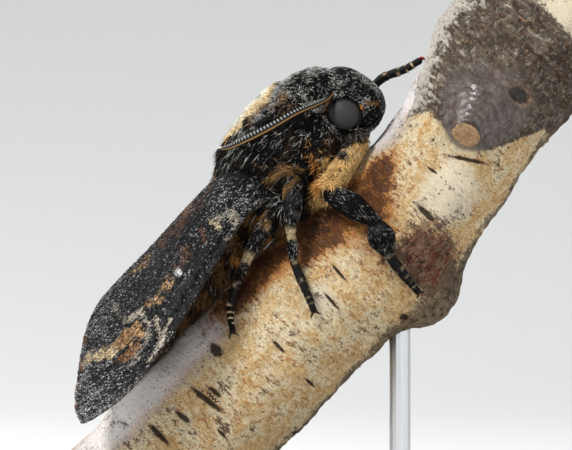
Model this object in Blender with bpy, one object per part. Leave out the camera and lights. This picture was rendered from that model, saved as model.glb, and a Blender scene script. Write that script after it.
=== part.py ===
# Death's head hawkmoth, Acherontia atropos, life size, sitting head up on a cut piece of branch.
# The branch is the moth's perch, and two short rods hold it over a flat base.
# World: metres, +Z up. The moth faces +X and upwards, and its right side faces -Y.
# The origin is the centre of the base's underside.
# The sizes below are millimetres. Those of the moth and the branch are in the perch frame:
# x runs up along the branch's axis, y to the moth's left, z away from the branch, out of the moth's back.

import math

import bmesh
import bpy
import numpy as np

MM = 0.001
GAP = 0.3                     # left between neighbouring pieces
RIGHT = -1.0
LEFT = 1.0
SIDES = {"right": RIGHT, "left": LEFT}

PERCH_TILT = 46.2             # degrees that the branch rises by
PERCH_SPOT = (-18.0, 0.0, 36.0)   # the perch frame's origin in the world

BRANCH_RADIUS = 11.3
BRANCH_LOW_END = -27.0
BRANCH_HIGH_END = 80.0
BRANCH_RISE = 4.5             # how far the axis swings up, past the bend
BEND_START = 42.0
BEND_LENGTH = 24.0
BRANCH_WAIST = 0.8            # how much slimmer it is before the bend
WAIST_AT = 47.0
KNOB_HEIGHT = 4.2             # an old branch scar, a knob on the lower side
KNOB_AT = 29.5
KNOB_ANGLE = 172.0            # degrees round the branch from its top, towards the moth's right
CREST_HEIGHT = 0.45           # a slight rise along the top, under the abdomen
CREST_AT = 0.0
CREST_LENGTH = 11.0
SWELLING_HEIGHT = 2.0         # the bark rises round the cut twig
SWELLING_AT = 60.0
SWELLING_ANGLE = 84.0
STUB_ROOT = (58.5, -7.0, 3.4)
STUB_TIP = (50.6, -15.2, 1.6)
STUB_ROOT_RADIUS = 6.4
STUB_TIP_RADIUS = 2.3

BASE_LENGTH = 90.0
BASE_WIDTH = 60.0
BASE_THICKNESS = 4.0
BASE_CORNER = 8.0
BASE_EDGE = 0.6
ROD_RADIUS = 1.6
ROD_SINK = 2.5                # how deep a rod sits in the base
ROD_REACH = 5.0               # how far a rod goes up into the branch
LOW_ROD_X = -20.0
HIGH_ROD_X = 6.9

# Stations of the trunk from tail to chest, and of the collar behind the head:
# x, z, half height, half width.
TRUNK = (
    (-8.5, 13.9, 0.5, 0.7),
    (-6.5, 14.1, 1.9, 2.4),
    (-2.0, 15.1, 3.1, 4.0),
    (4.0, 16.2, 4.2, 5.1),
    (11.0, 17.1, 5.1, 5.9),
    (17.0, 17.6, 5.6, 6.3),
    (21.5, 18.3, 6.3, 6.9),
    (26.0, 18.6, 8.5, 7.8),
    (31.0, 18.7, 9.4, 8.3),
    (35.5, 19.0, 9.0, 8.0),
    (38.1, 19.0, 8.3, 7.3),
)
COLLAR = (
    (38.5, 22.3, 4.5, 6.9),
    (40.2, 22.1, 4.2, 6.3),
    (42.0, 21.8, 3.6, 5.2),
    (43.4, 21.4, 2.6, 3.8),
)
TRUNK_SQUARENESS = 2.35
# Where the trunk is parted, as station numbers, and the name of each length.
TRUNK_CUTS = (0.0, 2.5, 4.3, 6.0, 10.0)
TRUNK_NAMES = ("abdomen_tip", "abdomen_middle", "abdomen_base", "thorax")

HEAD_SPOT = (43.05, 17.5)      # x and z of the head's middle
HEAD_PITCH = -80.0            # degrees that the head's long axis is turned down from the branch
HEAD_LENGTH = 5.7             # the head's half sizes
HEAD_HEIGHT = 4.7
HEAD_WIDTH = 5.1
HEAD_SQUARENESS = 2.5
EYE_SPOT = (41.1, 3.4, 16.5)
EYE_RADIUS = 2.9
PALP_RADIUS = 1.2
PALP_SPREAD = 1.85
PROBOSCIS_RADIUS = 0.42

# The feeler's route on the right side, laid back along the thorax.
ANTENNA = (
    (42.3, -4.1, 19.9),
    (40.9, -6.5, 19.9),
    (39.0, -7.9, 20.6),
    (36.2, -9.1, 21.75),
    (32.3, -9.6, 22.9),
    (28.6, -9.0, 24.2),
    (25.8, -7.2, 25.4),
    (24.6, -6.2, 26.5),
)
ANTENNA_RADII = (0.42, 0.42, 0.48, 0.58, 0.66, 0.66, 0.5, 0.28)

# Edges of the right forewing, root to tip: the leading edge and the inner margin.
COSTA = (
    (26.0, -6.8, 18.4),
    (23.2, -8.6, 16.2),
    (20.0, -11.2, 16.4),
    (12.8, -14.5, 14.9),
    (0.8, -18.0, 12.1),
    (-9.3, -18.8, 11.1),
    (-15.5, -17.8, 12.0),
    (-18.8, -15.8, 13.3),
)
INNER_MARGIN = (
    (26.0, -6.0, 21.8),
    (22.0, -4.3, 23.5),
    (17.0, -1.7, 23.9),
    (8.0, -0.6, 23.75),
    (1.0, -0.5, 23.8),
    (-6.0, -0.6, 23.6),
)
WING_THICKNESS = 0.55
WING_ARCH = 1.5               # how far the roof of the wing bulges out
WING_OUTWARDS = (0.0, -0.56, 0.83)   # the way it bulges, on the right side
WING_ROOT = 0.03              # where the solid starts, as a share of the wing's length
WING_TIP_ROUNDING = (0.03, 0.06)   # share of the length that the tip's front and rear corners lose
WING_EDGE_ROOM = 0.08         # share of the wing that each millimetre of room at its edges takes
HINDWING_DROP = 1.05          # from the forewing's middle surface to the hindwing's
HINDWING_LENGTH = (0.12, 0.68)   # the stretch of the forewing that it lies under
HINDWING_EDGES = ((0.10, 0.46), (0.06, 0.74))   # front and rear edge at its root and at its tip

# Legs. Hips and knees are points of the right side; the feet are set on the bark:
# x, degrees round the branch from its top, and height of the middle of the limb over the bark.
COXA_RADII = (1.6, 1.5)
FORE_COXA = ((39.3, 20.0, 2.2), (33.9, 37.0, 2.4))
LEGS = {
    "foreleg_right": {
        "hip": (31.4, -10.2, 10.2), "knee": (32.7, 79.0, 2.5), "ankle": (30.6, 100.0, 1.9),
        "foot": ((30.2, 111.0, 1.3), (29.9, 122.0, 1.05), (29.7, 132.0, 0.9)),
        "femur": (1.5, 2.0, 1.2), "tibia": (1.2, 2.15, 1.0), "tarsus": (0.95, 0.85, 0.7, 0.55), "side": RIGHT},
    "foreleg_left": {
        "hip": (36.5, -10.3, 12.2), "knee": (40.7, -37.5, 6.9), "ankle": (46.9, -19.0, 6.4),
        "foot": ((49.6, -18.4, 5.2), (52.5, -18.5, 2.75), (55.0, -19.0, 1.35)),
        "femur": (1.2, 1.6, 0.9), "tibia": (0.9, 1.3, 0.8), "tarsus": (0.72, 0.74, 0.7, 0.55), "side": LEFT},
    "midleg_right": {
        "hip": (28.7, -9.3, 15.1), "knee": (23.1, 47.0, 3.9), "ankle": (20.2, 59.0, 1.9),
        "foot": ((19.2, 69.0, 1.15), (18.2, 80.0, 1.0), (17.2, 90.0, 0.85)),
        "femur": (1.6, 1.6, 0.9), "tibia": (0.8, 1.0, 0.75), "tarsus": (0.74, 0.74, 0.66, 0.52), "side": RIGHT},
    "midleg_left": {
        "hip": (29.2, -9.3, 15.1), "knee": (24.3, -47.0, 4.1), "ankle": (22.2, -60.0, 1.9),
        "foot": ((21.6, -70.0, 1.15), (20.9, -81.0, 1.0), (20.0, -92.0, 0.85)),
        "femur": (1.6, 1.6, 0.9), "tibia": (0.8, 1.0, 0.75), "tarsus": (0.74, 0.74, 0.66, 0.52), "side": LEFT},
    "hindleg_right": {
        "hip": (23.6, -8.7, 14.2), "knee": (16.3, 39.0, 4.3), "ankle": (12.1, 40.5, 2.6),
        "foot": ((9.6, 42.5, 1.3), (8.0, 49.0, 1.0), (6.8, 58.0, 0.85)),
        "femur": (1.3, 1.5, 0.9), "tibia": (0.8, 0.95, 0.7), "tarsus": (0.66, 0.68, 0.6, 0.5), "side": RIGHT},
    "hindleg_left": {
        "hip": (23.4, -8.7, 14.2), "knee": (15.6, -39.0, 4.3), "ankle": (10.8, -41.0, 2.6),
        "foot": ((8.2, -44.0, 1.3), (6.4, -51.0, 1.0), (5.0, -60.0, 0.85)),
        "femur": (1.3, 1.5, 0.9), "tibia": (0.8, 0.95, 0.7), "tarsus": (0.66, 0.68, 0.6, 0.5), "side": LEFT},
}
CLAW_LENGTH = 1.0
CLAW_SPREAD = 0.55
CLAW_RADIUS = 0.27

TRUNK_SIDES = 16
LIMB_SIDES = 7
FOOT_SIDES = 5
BRANCH_SIDES = 20
EYE_SIDES = 12

# Colour, roughness and metallic value of each material.
FINISHES = {
    "black_fur": ((0.035, 0.033, 0.035), 0.8, 0.0),
    "banded_fur": ((0.30, 0.20, 0.07), 0.8, 0.0),
    "eye": ((0.05, 0.05, 0.055), 0.35, 0.0),
    "feeler": ((0.05, 0.05, 0.05), 0.6, 0.0),
    "forewing": ((0.06, 0.06, 0.065), 0.7, 0.0),
    "hindwing": ((0.62, 0.42, 0.10), 0.7, 0.0),
    "orange_fur": ((0.55, 0.32, 0.12), 0.8, 0.0),
    "leg": ((0.06, 0.055, 0.055), 0.6, 0.0),
    "foot": ((0.05, 0.045, 0.045), 0.5, 0.0),
    "bark": ((0.55, 0.45, 0.34), 0.85, 0.0),
    "base_paint": ((0.10, 0.10, 0.11), 0.5, 0.0),
    "rod_steel": ((0.55, 0.56, 0.58), 0.35, 1.0),
}


def clear_scene():
    for item in list(bpy.data.objects):
        bpy.data.objects.remove(item, do_unlink=True)


def make_material(name):
    colour, roughness, metallic = FINISHES[name]
    material = bpy.data.materials.get(name) or bpy.data.materials.new(name)
    material.use_nodes = True
    shader = material.node_tree.nodes["Principled BSDF"]
    shader.inputs["Base Color"].default_value = (*colour, 1.0)
    shader.inputs["Roughness"].default_value = roughness
    shader.inputs["Metallic"].default_value = metallic
    material.diffuse_color = (*colour, 1.0)
    return material


def make_perch_frame():
    # The empty that carries the branch and the moth.
    frame = bpy.data.objects.new("perch_frame", None)
    frame.location = [value * MM for value in PERCH_SPOT]
    frame.rotation_euler = (0.0, -math.radians(PERCH_TILT), 0.0)
    bpy.context.scene.collection.objects.link(frame)
    return frame


def smooth_step(value):
    t = np.clip(value, 0.0, 1.0)
    return t * t * (3.0 - 2.0 * t)


def bump(value):
    return np.exp(-value * value)


def curve_at(points, places):
    # A Catmull-Rom curve through the points, read at places counted in points from the first.
    rows = np.array(points, dtype=float).reshape(len(points), -1)
    padded = np.vstack((2 * rows[0] - rows[1], rows, 2 * rows[-1] - rows[-2]))
    places = np.clip(np.asarray(places, dtype=float), 0.0, len(rows) - 1.0)
    first = np.minimum(places.astype(int), len(rows) - 2)
    t = (places - first)[:, None]
    a, b, c, d = (padded[first + step] for step in range(4))
    return 0.5 * (2 * b + (c - a) * t + (2 * a - 5 * b + 4 * c - d) * t ** 2
                  + (3 * b - a - 3 * c + d) * t ** 3)


def curve_through(points, count):
    return curve_at(points, np.linspace(0.0, len(points) - 1.0, count))


def unit(vectors):
    return vectors / np.linalg.norm(vectors, axis=-1, keepdims=True)


def superellipse(sides, squareness):
    # Unit outline: cosine and sine raised to a power, which squares the ellipse's shoulders.
    angle = np.arange(sides) * 2 * math.pi / sides
    shape = []
    for wave in (np.cos(angle), np.sin(angle)):
        shape.append(np.sign(wave) * np.abs(wave) ** (2.0 / squareness))
    return shape


def finish_mesh(name, points, faces, material, parent):
    mesh = bpy.data.meshes.new(name)
    mesh.from_pydata((np.asarray(points) * MM).tolist(), [], faces)
    shell = bmesh.new()
    shell.from_mesh(mesh)
    bmesh.ops.recalc_face_normals(shell, faces=shell.faces)
    shell.to_mesh(mesh)
    shell.free()
    mesh.shade_smooth()
    mesh.set_sharp_from_angle(angle=math.radians(45.0))
    mesh.materials.append(make_material(material))
    item = bpy.data.objects.new(name, mesh)
    item.parent = parent
    bpy.context.scene.collection.objects.link(item)
    return item


def ring_faces(rings, sides, start=0):
    # Quads between neighbouring rings, and one flat face over each end.
    faces = []
    for ring in range(rings - 1):
        for side in range(sides):
            near = start + ring * sides
            after = (side + 1) % sides
            faces.append((near + side, near + after, near + sides + after, near + sides + side))
    faces.append(tuple(start + side for side in range(sides)))
    faces.append(tuple(start + (rings - 1) * sides + side for side in range(sides)))
    return faces


def limb_rings(points, radii, sides, count, grow=0.0):
    # A round tube along a smooth path, with a dome at each end as deep as the radius there.
    middle = curve_through(points, count)
    radius = curve_through(radii, count)[:, 0] + grow
    heading = unit(np.gradient(middle, axis=0))
    domes = np.radians((78.0, 42.0))
    head = [middle[0] - heading[0] * radius[0] * math.sin(turn) for turn in domes]
    tail = [middle[-1] + heading[-1] * radius[-1] * math.sin(turn) for turn in domes[::-1]]
    middle = np.vstack((head, middle, tail))
    heading = np.vstack((heading[:1], heading[:1], heading, heading[-1:], heading[-1:]))
    radius = np.concatenate((radius[0] * np.cos(domes), radius, radius[-1] * np.cos(domes[::-1])))
    across, over = superellipse(sides, 2.0)
    rings = []
    side = unit(np.cross(heading[0], (0.31, 0.17, 0.94)))
    for centre, ahead, size in zip(middle, heading, radius):
        side = unit(side - ahead * np.dot(side, ahead))
        up = np.cross(ahead, side)
        rings.append(centre + size * (across[:, None] * side + over[:, None] * up))
    return np.array(rings)


def add_limb(name, points, radii, material, parent, sides=LIMB_SIDES, count=5, grow=0.0):
    rings = limb_rings(points, radii, sides, count, grow)
    return finish_mesh(name, rings.reshape(-1, 3), ring_faces(len(rings), sides), material, parent)


def make_cutter(name, ring_sets, parent, make_faces=ring_faces):
    # One guide object that holds several closed shells, each a little larger than its piece.
    points = []
    faces = []
    for rings in ring_sets:
        faces += make_faces(rings.shape[0], rings.shape[1], len(points))
        points += rings.reshape(-1, 3).tolist()
    cutter = finish_mesh(name, points, faces, "bark", parent)
    cutter.hide_render = True
    cutter.display_type = "WIRE"
    return cutter


def carve(item, cutter, operation="DIFFERENCE"):
    cut = item.modifiers.new(cutter.name, "BOOLEAN")
    cut.operation = operation
    cut.object = cutter


def branch_shape(x, angle):
    # Height of the branch's axis, and its radius at an angle in radians from its top.
    centre = BRANCH_RISE * smooth_step((x - BEND_START) / BEND_LENGTH)
    radius = BRANCH_RADIUS - BRANCH_WAIST * bump((x - WAIST_AT) / 8.0) + 0.8 * smooth_step((x - 54.0) / 8.0)
    knob_spread = np.where(x < KNOB_AT, 4.6, 7.0)
    knob_side = np.maximum(np.cos(angle - math.radians(KNOB_ANGLE)), 0.0) ** 4
    swelling_side = np.maximum(np.cos(angle - math.radians(SWELLING_ANGLE)), 0.0) ** 3
    radius = radius + KNOB_HEIGHT * bump((x - KNOB_AT) / knob_spread) * knob_side
    crest_side = np.maximum(np.cos(angle), 0.0) ** 2
    radius = radius + CREST_HEIGHT * bump((x - CREST_AT) / CREST_LENGTH) * crest_side
    radius = radius + SWELLING_HEIGHT * bump((x - SWELLING_AT) / 7.0) * swelling_side
    radius = radius + 0.16 * np.sin(0.42 * x + 2.0 * angle) + 0.12 * np.sin(0.85 * x - 3.0 * angle + 1.0)
    return centre, radius


def on_branch(x, degrees, lift):
    # A point over the bark, at an angle from the branch's top towards the moth's right.
    angle = math.radians(degrees)
    centre, radius = branch_shape(np.float64(x), angle)
    return np.array((x, -(radius + lift) * math.sin(angle), centre + (radius + lift) * math.cos(angle)))


def branch_rings(low, high, count, grow=0.0):
    angle = np.arange(BRANCH_SIDES) * 2 * math.pi / BRANCH_SIDES
    x, angle = np.meshgrid(np.linspace(low, high, count), angle, indexing="ij")
    centre, radius = branch_shape(x, angle)
    radius = radius + grow
    return np.stack((x, -radius * np.sin(angle), centre + radius * np.cos(angle)), axis=-1)


def stub_rings():
    points = (STUB_ROOT, STUB_TIP)
    rings = limb_rings(points, (STUB_ROOT_RADIUS, STUB_TIP_RADIUS), 14, 5)
    return rings[2:-2]


def rod_rings(x, top, grow=0.0):
    across, over = superellipse(16, 2.0)
    rings = []
    for z in (BASE_THICKNESS - ROD_SINK - grow, top + grow):
        size = ROD_RADIUS + grow
        rings.append(np.stack((x + size * across, size * over, np.full(16, z)), axis=-1))
    return np.array(rings)


def rod_top(x):
    # The branch's underside above the world place x, plus the depth of the rod's hole.
    tilt = math.radians(PERCH_TILT)
    along = np.linspace(BRANCH_LOW_END, BRANCH_HIGH_END, 400)
    centre, radius = branch_shape(along, math.pi)
    below = centre - radius
    world_x = PERCH_SPOT[0] + along * math.cos(tilt) - below * math.sin(tilt)
    world_z = PERCH_SPOT[2] + along * math.sin(tilt) + below * math.cos(tilt)
    return float(np.interp(x, world_x, world_z)) + ROD_REACH


def make_stand():
    half_length = BASE_LENGTH / 2 - BASE_CORNER
    half_width = BASE_WIDTH / 2 - BASE_CORNER
    outline = []
    for corner in range(4):
        sign_x = (1, -1, -1, 1)[corner]
        sign_y = (1, 1, -1, -1)[corner]
        for turn in np.radians(np.linspace(0.0, 90.0, 5) + 90.0 * corner):
            outline.append((sign_x * half_length + BASE_CORNER * math.cos(turn),
                            sign_y * half_width + BASE_CORNER * math.sin(turn)))
    rings = np.array([[(x, y, z) for x, y in outline] for z in (0.0, BASE_THICKNESS)])
    base = finish_mesh("stand_base", rings.reshape(-1, 3), ring_faces(2, len(outline)), "base_paint", None)
    edge = base.modifiers.new("edge", "BEVEL")
    edge.width = BASE_EDGE * MM
    edge.segments = 1
    places = {"stand_rod_low": LOW_ROD_X, "stand_rod_high": HIGH_ROD_X}
    holes = []
    for name, x in places.items():
        rings = rod_rings(x, rod_top(x))
        finish_mesh(name, rings.reshape(-1, 3), ring_faces(2, 16), "rod_steel", None)
        holes.append(rod_rings(x, rod_top(x), GAP))
    rod_holes = make_cutter("rod_holes", holes, None)
    carve(base, rod_holes)
    return rod_holes


def make_branch(frame, rod_holes):
    rings = branch_rings(BRANCH_LOW_END, BRANCH_HIGH_END, 26)
    faces = ring_faces(len(rings), BRANCH_SIDES)
    branch = finish_mesh("perch_branch", rings.reshape(-1, 3), faces, "bark", frame)
    twig = make_cutter("twig_shape", [stub_rings()], frame)
    carve(branch, twig, "UNION")
    carve(branch, rod_holes)


def trunk_rings(table, first, last, count):
    # Rings square to the table's own spine, between two station numbers.
    places = np.linspace(first, last, count)
    station = curve_at(table, places)
    ahead = curve_at(table, places + 0.02)[:, :2] - curve_at(table, places - 0.02)[:, :2]
    ahead = unit(ahead)
    across, over = superellipse(TRUNK_SIDES, TRUNK_SQUARENESS)
    rings = []
    for (x, z, height, width), (forward, rise) in zip(station, ahead):
        lift = height * over
        rings.append(np.stack((x - rise * lift, width * across, z + forward * lift), axis=-1))
    return np.array(rings)


def make_trunk(frame):
    # The trunk is one shape, parted by thin cuts square to its spine.
    bodies = {}
    spans = zip(TRUNK_CUTS[:-1], TRUNK_CUTS[1:])
    for name, (first, last) in zip(TRUNK_NAMES, spans):
        half_step = curve_at(TRUNK, [last])[0, :2] - curve_at(TRUNK, [last - 0.5])[0, :2]
        pace = 0.25 * GAP / np.linalg.norm(half_step)
        count = 4 + int(2 * (last - first))
        rings = trunk_rings(TRUNK, first + (pace if first > 0 else 0.0), last - pace, count)
        finish = "banded_fur" if name.startswith("abdomen") else "black_fur"
        bodies[name] = finish_mesh(name, rings.reshape(-1, 3), ring_faces(count, TRUNK_SIDES), finish, frame)
    hollow = make_cutter("branch_clearance", [branch_rings(14.0, 50.0, 14, GAP)], frame)
    carve(bodies["thorax"], hollow)
    rings = trunk_rings(COLLAR, 0.0, len(COLLAR) - 1.0, 6)
    faces = ring_faces(len(rings), TRUNK_SIDES)
    bodies["collar"] = finish_mesh("collar", rings.reshape(-1, 3), faces, "black_fur", frame)
    return bodies


def head_point(along, y, across):
    # From the head's own axes, which start at its middle, to the perch frame.
    pitch = math.radians(HEAD_PITCH)
    x = HEAD_SPOT[0] + along * math.cos(pitch) - across * math.sin(pitch)
    z = HEAD_SPOT[1] + along * math.sin(pitch) + across * math.cos(pitch)
    return np.array((x, y, z))


def head_rings(grow=0.0):
    across, over = superellipse(TRUNK_SIDES, HEAD_SQUARENESS)
    rings = []
    for turn in np.radians(np.linspace(-82.0, 82.0, 8)):
        along = (HEAD_LENGTH + grow) * abs(math.sin(turn)) ** (2.0 / HEAD_SQUARENESS) * np.sign(turn)
        size = math.cos(turn) ** (2.0 / HEAD_SQUARENESS)
        rings.append([head_point(along, (HEAD_WIDTH + grow) * size * a, (HEAD_HEIGHT + grow) * size * o)
                      for a, o in zip(across, over)])
    return np.array(rings)


def make_head(frame, bodies):
    # An egg with sockets for the eyes and room for the mouth parts, set into the collar and the thorax.
    rings = head_rings()
    head = finish_mesh("head", rings.reshape(-1, 3), ring_faces(len(rings), TRUNK_SIDES), "black_fur", frame)
    head_room = make_cutter("head_room", [head_rings(GAP)], frame)
    carve(bodies["thorax"], head_room)
    carve(bodies["collar"], head_room)
    sockets = []
    mouth_parts = []
    for name, side in SIDES.items():
        spot = (EYE_SPOT[0], EYE_SPOT[1] * side, EYE_SPOT[2])
        rings = eye_rings(spot, EYE_RADIUS)
        finish_mesh("eye_" + name, rings.reshape(-1, 3), ring_faces(len(rings), EYE_SIDES), "eye", frame)
        sockets.append(eye_rings(spot, EYE_RADIUS + GAP))
        route = [head_point(along, PALP_SPREAD * side, across) for along, across in
                 ((4.05, -2.9), (4.55, -0.15), (3.7, 2.35))]
        sizes = (0.55, PALP_RADIUS, 0.85)
        add_limb("palp_" + name, route, sizes, "black_fur", frame)
        mouth_parts.append(limb_rings(route, sizes, LIMB_SIDES, 5, GAP))
    eye_sockets = make_cutter("eye_sockets", sockets, frame)
    carve(head, eye_sockets)
    carve(bodies["collar"], eye_sockets)
    carve(bodies["thorax"], eye_sockets)
    carve(head, make_cutter("palp_room", mouth_parts, frame))
    route = [head_point(along, 0.0, across) for along, across in
             ((4.7, -1.6), (5.2, -2.8), (4.8, -4.0), (3.85, -4.1))]
    add_limb("proboscis", route, (PROBOSCIS_RADIUS,) * 4, "feeler", frame, FOOT_SIDES, 6)
    tongue_room = limb_rings(route, (PROBOSCIS_RADIUS,) * 4, FOOT_SIDES, 6, GAP)
    carve(head, make_cutter("proboscis_room", [tongue_room], frame))
    return head


def eye_rings(spot, radius):
    # A ball, its poles to the left and right.
    across, over = superellipse(EYE_SIDES, 2.0)
    rings = []
    for turn in np.radians(np.linspace(-82.0, 82.0, 7)):
        size = radius * math.cos(turn)
        y = np.full(EYE_SIDES, spot[1] + radius * math.sin(turn))
        rings.append(np.stack((spot[0] + size * across, y, spot[2] + size * over), axis=-1))
    return np.array(rings)


def make_antennae(frame, head):
    roots = []
    for name, side in SIDES.items():
        route = [(x, -y * side, z) for x, y, z in ANTENNA]
        add_limb("antenna_" + name, route, ANTENNA_RADII, "feeler", frame, FOOT_SIDES, 12)
        roots.append(limb_rings(route, ANTENNA_RADII, FOOT_SIDES, 12, GAP)[:6])
    carve(head, make_cutter("antenna_roots", roots, frame))


def wing_surface(u, v):
    # The right forewing's middle surface: straight lines from the leading edge at v = 0
    # to the inner margin at v = 1, arched outwards between them. u runs from root to tip.
    front = curve_at(COSTA, u * (len(COSTA) - 1.0))
    rear = curve_at(INNER_MARGIN, u * (len(INNER_MARGIN) - 1.0))
    flat = front + (rear - front) * v[:, None]
    arch = WING_ARCH * np.sin(math.pi * v) * np.sin(math.pi * np.clip(0.08 + 0.9 * u, 0.0, 1.0)) ** 0.5
    return flat + arch[:, None] * np.array(WING_OUTWARDS)


def wing_normal(u, v):
    step = 0.004
    along = wing_surface(u + step, v) - wing_surface(u - step, v)
    across = wing_surface(u, v + step) - wing_surface(u, v - step)
    normal = np.cross(along, across)
    return unit(normal * np.sign(normal @ np.array(WING_OUTWARDS))[:, None])


def wing_slab(u, v, drop, side, grow):
    # Rings round the wing, each one up over its top from front to rear and back below.
    rows, columns = u.shape
    middle = wing_surface(u.ravel(), v.ravel())
    normal = wing_normal(u.ravel(), v.ravel())
    half = WING_THICKNESS / 2 + grow
    top = (middle + normal * (half - drop)).reshape(rows, columns, 3)
    bottom = (middle - normal * (half + drop)).reshape(rows, columns, 3)
    rings = np.concatenate((top, bottom[:, ::-1]), axis=1)
    rings[..., 1] *= -side
    return rings


def wing_faces(rows, sides, start=0):
    # As ring_faces, but the ends are strips of quads, because a wing's end isn't flat.
    faces = ring_faces(rows, sides, start)[:-2]
    for first in (start, start + (rows - 1) * sides):
        for column in range(sides // 2 - 1):
            faces.append((first + column, first + column + 1,
                          first + sides - 2 - column, first + sides - 1 - column))
    return faces


def forewing_grid(grow=0.0):
    rows, columns = 14, 6
    edge = grow * WING_EDGE_ROOM
    u, v = np.meshgrid(np.linspace(WING_ROOT - edge, 1.0, rows), np.linspace(-edge, 1.0 + edge, columns),
                       indexing="ij")
    corner = np.clip(np.abs(2.0 * v - 1.0), 0.0, 1.0) ** 5
    front, rear = WING_TIP_ROUNDING
    return u - np.where(v < 0.5, front, rear) * np.clip(u, 0.0, 1.0) ** 8 * corner, v


def hindwing_grid(grow=0.0):
    rows, columns = 8, 5
    edge = grow * WING_EDGE_ROOM
    start, end = HINDWING_LENGTH
    u, share = np.meshgrid(np.linspace(start - edge, end, rows),
                           np.linspace(-3.0 * edge, 1.0 + 3.0 * edge, columns), indexing="ij")
    root, tip = HINDWING_EDGES
    reach = np.linspace(0.0, 1.0, rows)[:, None]
    front = root[0] + (tip[0] - root[0]) * reach
    rear = root[1] + (tip[1] - root[1]) * reach
    u = u - 0.06 * share * reach
    return u, front + (rear - front) * share


def make_wings(frame, bodies):
    for name, side in SIDES.items():
        for pair, grid, drop in (("fore", forewing_grid(), 0.0), ("hind", hindwing_grid(), HINDWING_DROP)):
            rings = wing_slab(*grid, drop, side, 0.0)
            faces = wing_faces(*rings.shape[:2])
            finish_mesh(pair + "wing_" + name, rings.reshape(-1, 3), faces, pair + "wing", frame)
        fore_room = wing_slab(*forewing_grid(GAP), 0.0, side, GAP)[:9]
        hind_room = wing_slab(*hindwing_grid(GAP), HINDWING_DROP, side, GAP)[:5]
        fore_slot = make_cutter("forewing_slot_" + name, [fore_room], frame, wing_faces)
        hind_slot = make_cutter("hindwing_slot_" + name, [hind_room], frame, wing_faces)
        carve(bodies["thorax"], fore_slot)
        carve(bodies["thorax"], hind_slot)
        carve(bodies["abdomen_base"], fore_slot)


def setback(radius, before, joint, after):
    # How far from a bent joint a limb's last ring stands, so that both domes clear each other.
    one = unit(np.asarray(before) - joint)
    two = unit(np.asarray(after) - joint)
    half_bend = 0.5 * math.acos(float(np.clip(np.dot(one, two), -1.0, 1.0)))
    return (radius + GAP / 2) / math.sin(half_bend)


def claw_rings(foot, heading, away, side):
    # A hook that leaves the foot forwards and outwards and bends down to the bark.
    spread = np.cross(heading, away) * side * CLAW_SPREAD
    middle = foot + heading * CLAW_LENGTH * 0.6 + spread * 0.8 + away * 0.12
    tip = foot + heading * CLAW_LENGTH + spread * 1.5 - away * 0.12
    return limb_rings((foot + spread * 0.1, middle, tip), (CLAW_RADIUS, CLAW_RADIUS, 0.2), 4, 3)


def make_leg(name, leg, frame):
    side = leg["side"]
    hip = np.array((leg["hip"][0], -leg["hip"][1] * side, leg["hip"][2]))
    knee = on_branch(*leg["knee"])
    ankle = on_branch(*leg["ankle"])
    feet = [on_branch(*spot) for spot in leg["foot"]]
    femur, tibia, thin = leg["femur"], leg["tibia"], leg["tarsus"]
    to_knee = unit(knee - hip)
    to_ankle = unit(ankle - knee)
    to_foot = unit(feet[0] - ankle)
    femur_end = knee - to_knee * setback(femur[2], hip, knee, ankle)
    add_limb(name + "_femur", (hip, (hip + femur_end) / 2, femur_end), femur, "leg", frame)
    tibia_start = knee + to_ankle * setback(tibia[0], hip, knee, ankle)
    tibia_end = ankle - to_ankle * setback(tibia[2], knee, ankle, feet[0])
    add_limb(name + "_tibia", (tibia_start, (tibia_start + tibia_end) / 2, tibia_end), tibia, "leg", frame)
    tarsus_start = ankle + to_foot * setback(thin[0], knee, ankle, feet[0])
    tarsus = add_limb(name + "_tarsus", (tarsus_start, *feet), thin, "foot", frame, FOOT_SIDES, 6)
    heading = unit(feet[-1] - feet[-2])
    away = unit(on_branch(leg["foot"][-1][0], leg["foot"][-1][1], 5.0) - feet[-1])
    for number, hand in enumerate((RIGHT, LEFT)):
        claw = make_cutter(f"{name}_claw_{number}", [claw_rings(feet[-1], heading, away, hand)], frame)
        carve(tarsus, claw, "UNION")
    return limb_rings((hip, (hip + femur_end) / 2, femur_end), femur, LIMB_SIDES, 5, GAP)


def make_legs(frame, bodies):
    femurs = [make_leg(name, leg, frame) for name, leg in LEGS.items()]
    carve(bodies["thorax"], make_cutter("femur_room", femurs, frame))
    coxae = []
    for name, side in SIDES.items():
        route = [on_branch(x, -angle * side, lift) for x, angle, lift in FORE_COXA]
        add_limb(f"foreleg_{name}_coxa", route, COXA_RADII, "orange_fur", frame, count=3)
        coxae.append(limb_rings(route, COXA_RADII, LIMB_SIDES, 3, GAP))
    carve(bodies["thorax"], make_cutter("coxa_room", coxae, frame))


def main():
    clear_scene()
    rod_holes = make_stand()
    frame = make_perch_frame()
    make_branch(frame, rod_holes)
    bodies = make_trunk(frame)
    head = make_head(frame, bodies)
    make_antennae(frame, head)
    make_wings(frame, bodies)
    make_legs(frame, bodies)


main()
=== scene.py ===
import math

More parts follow.
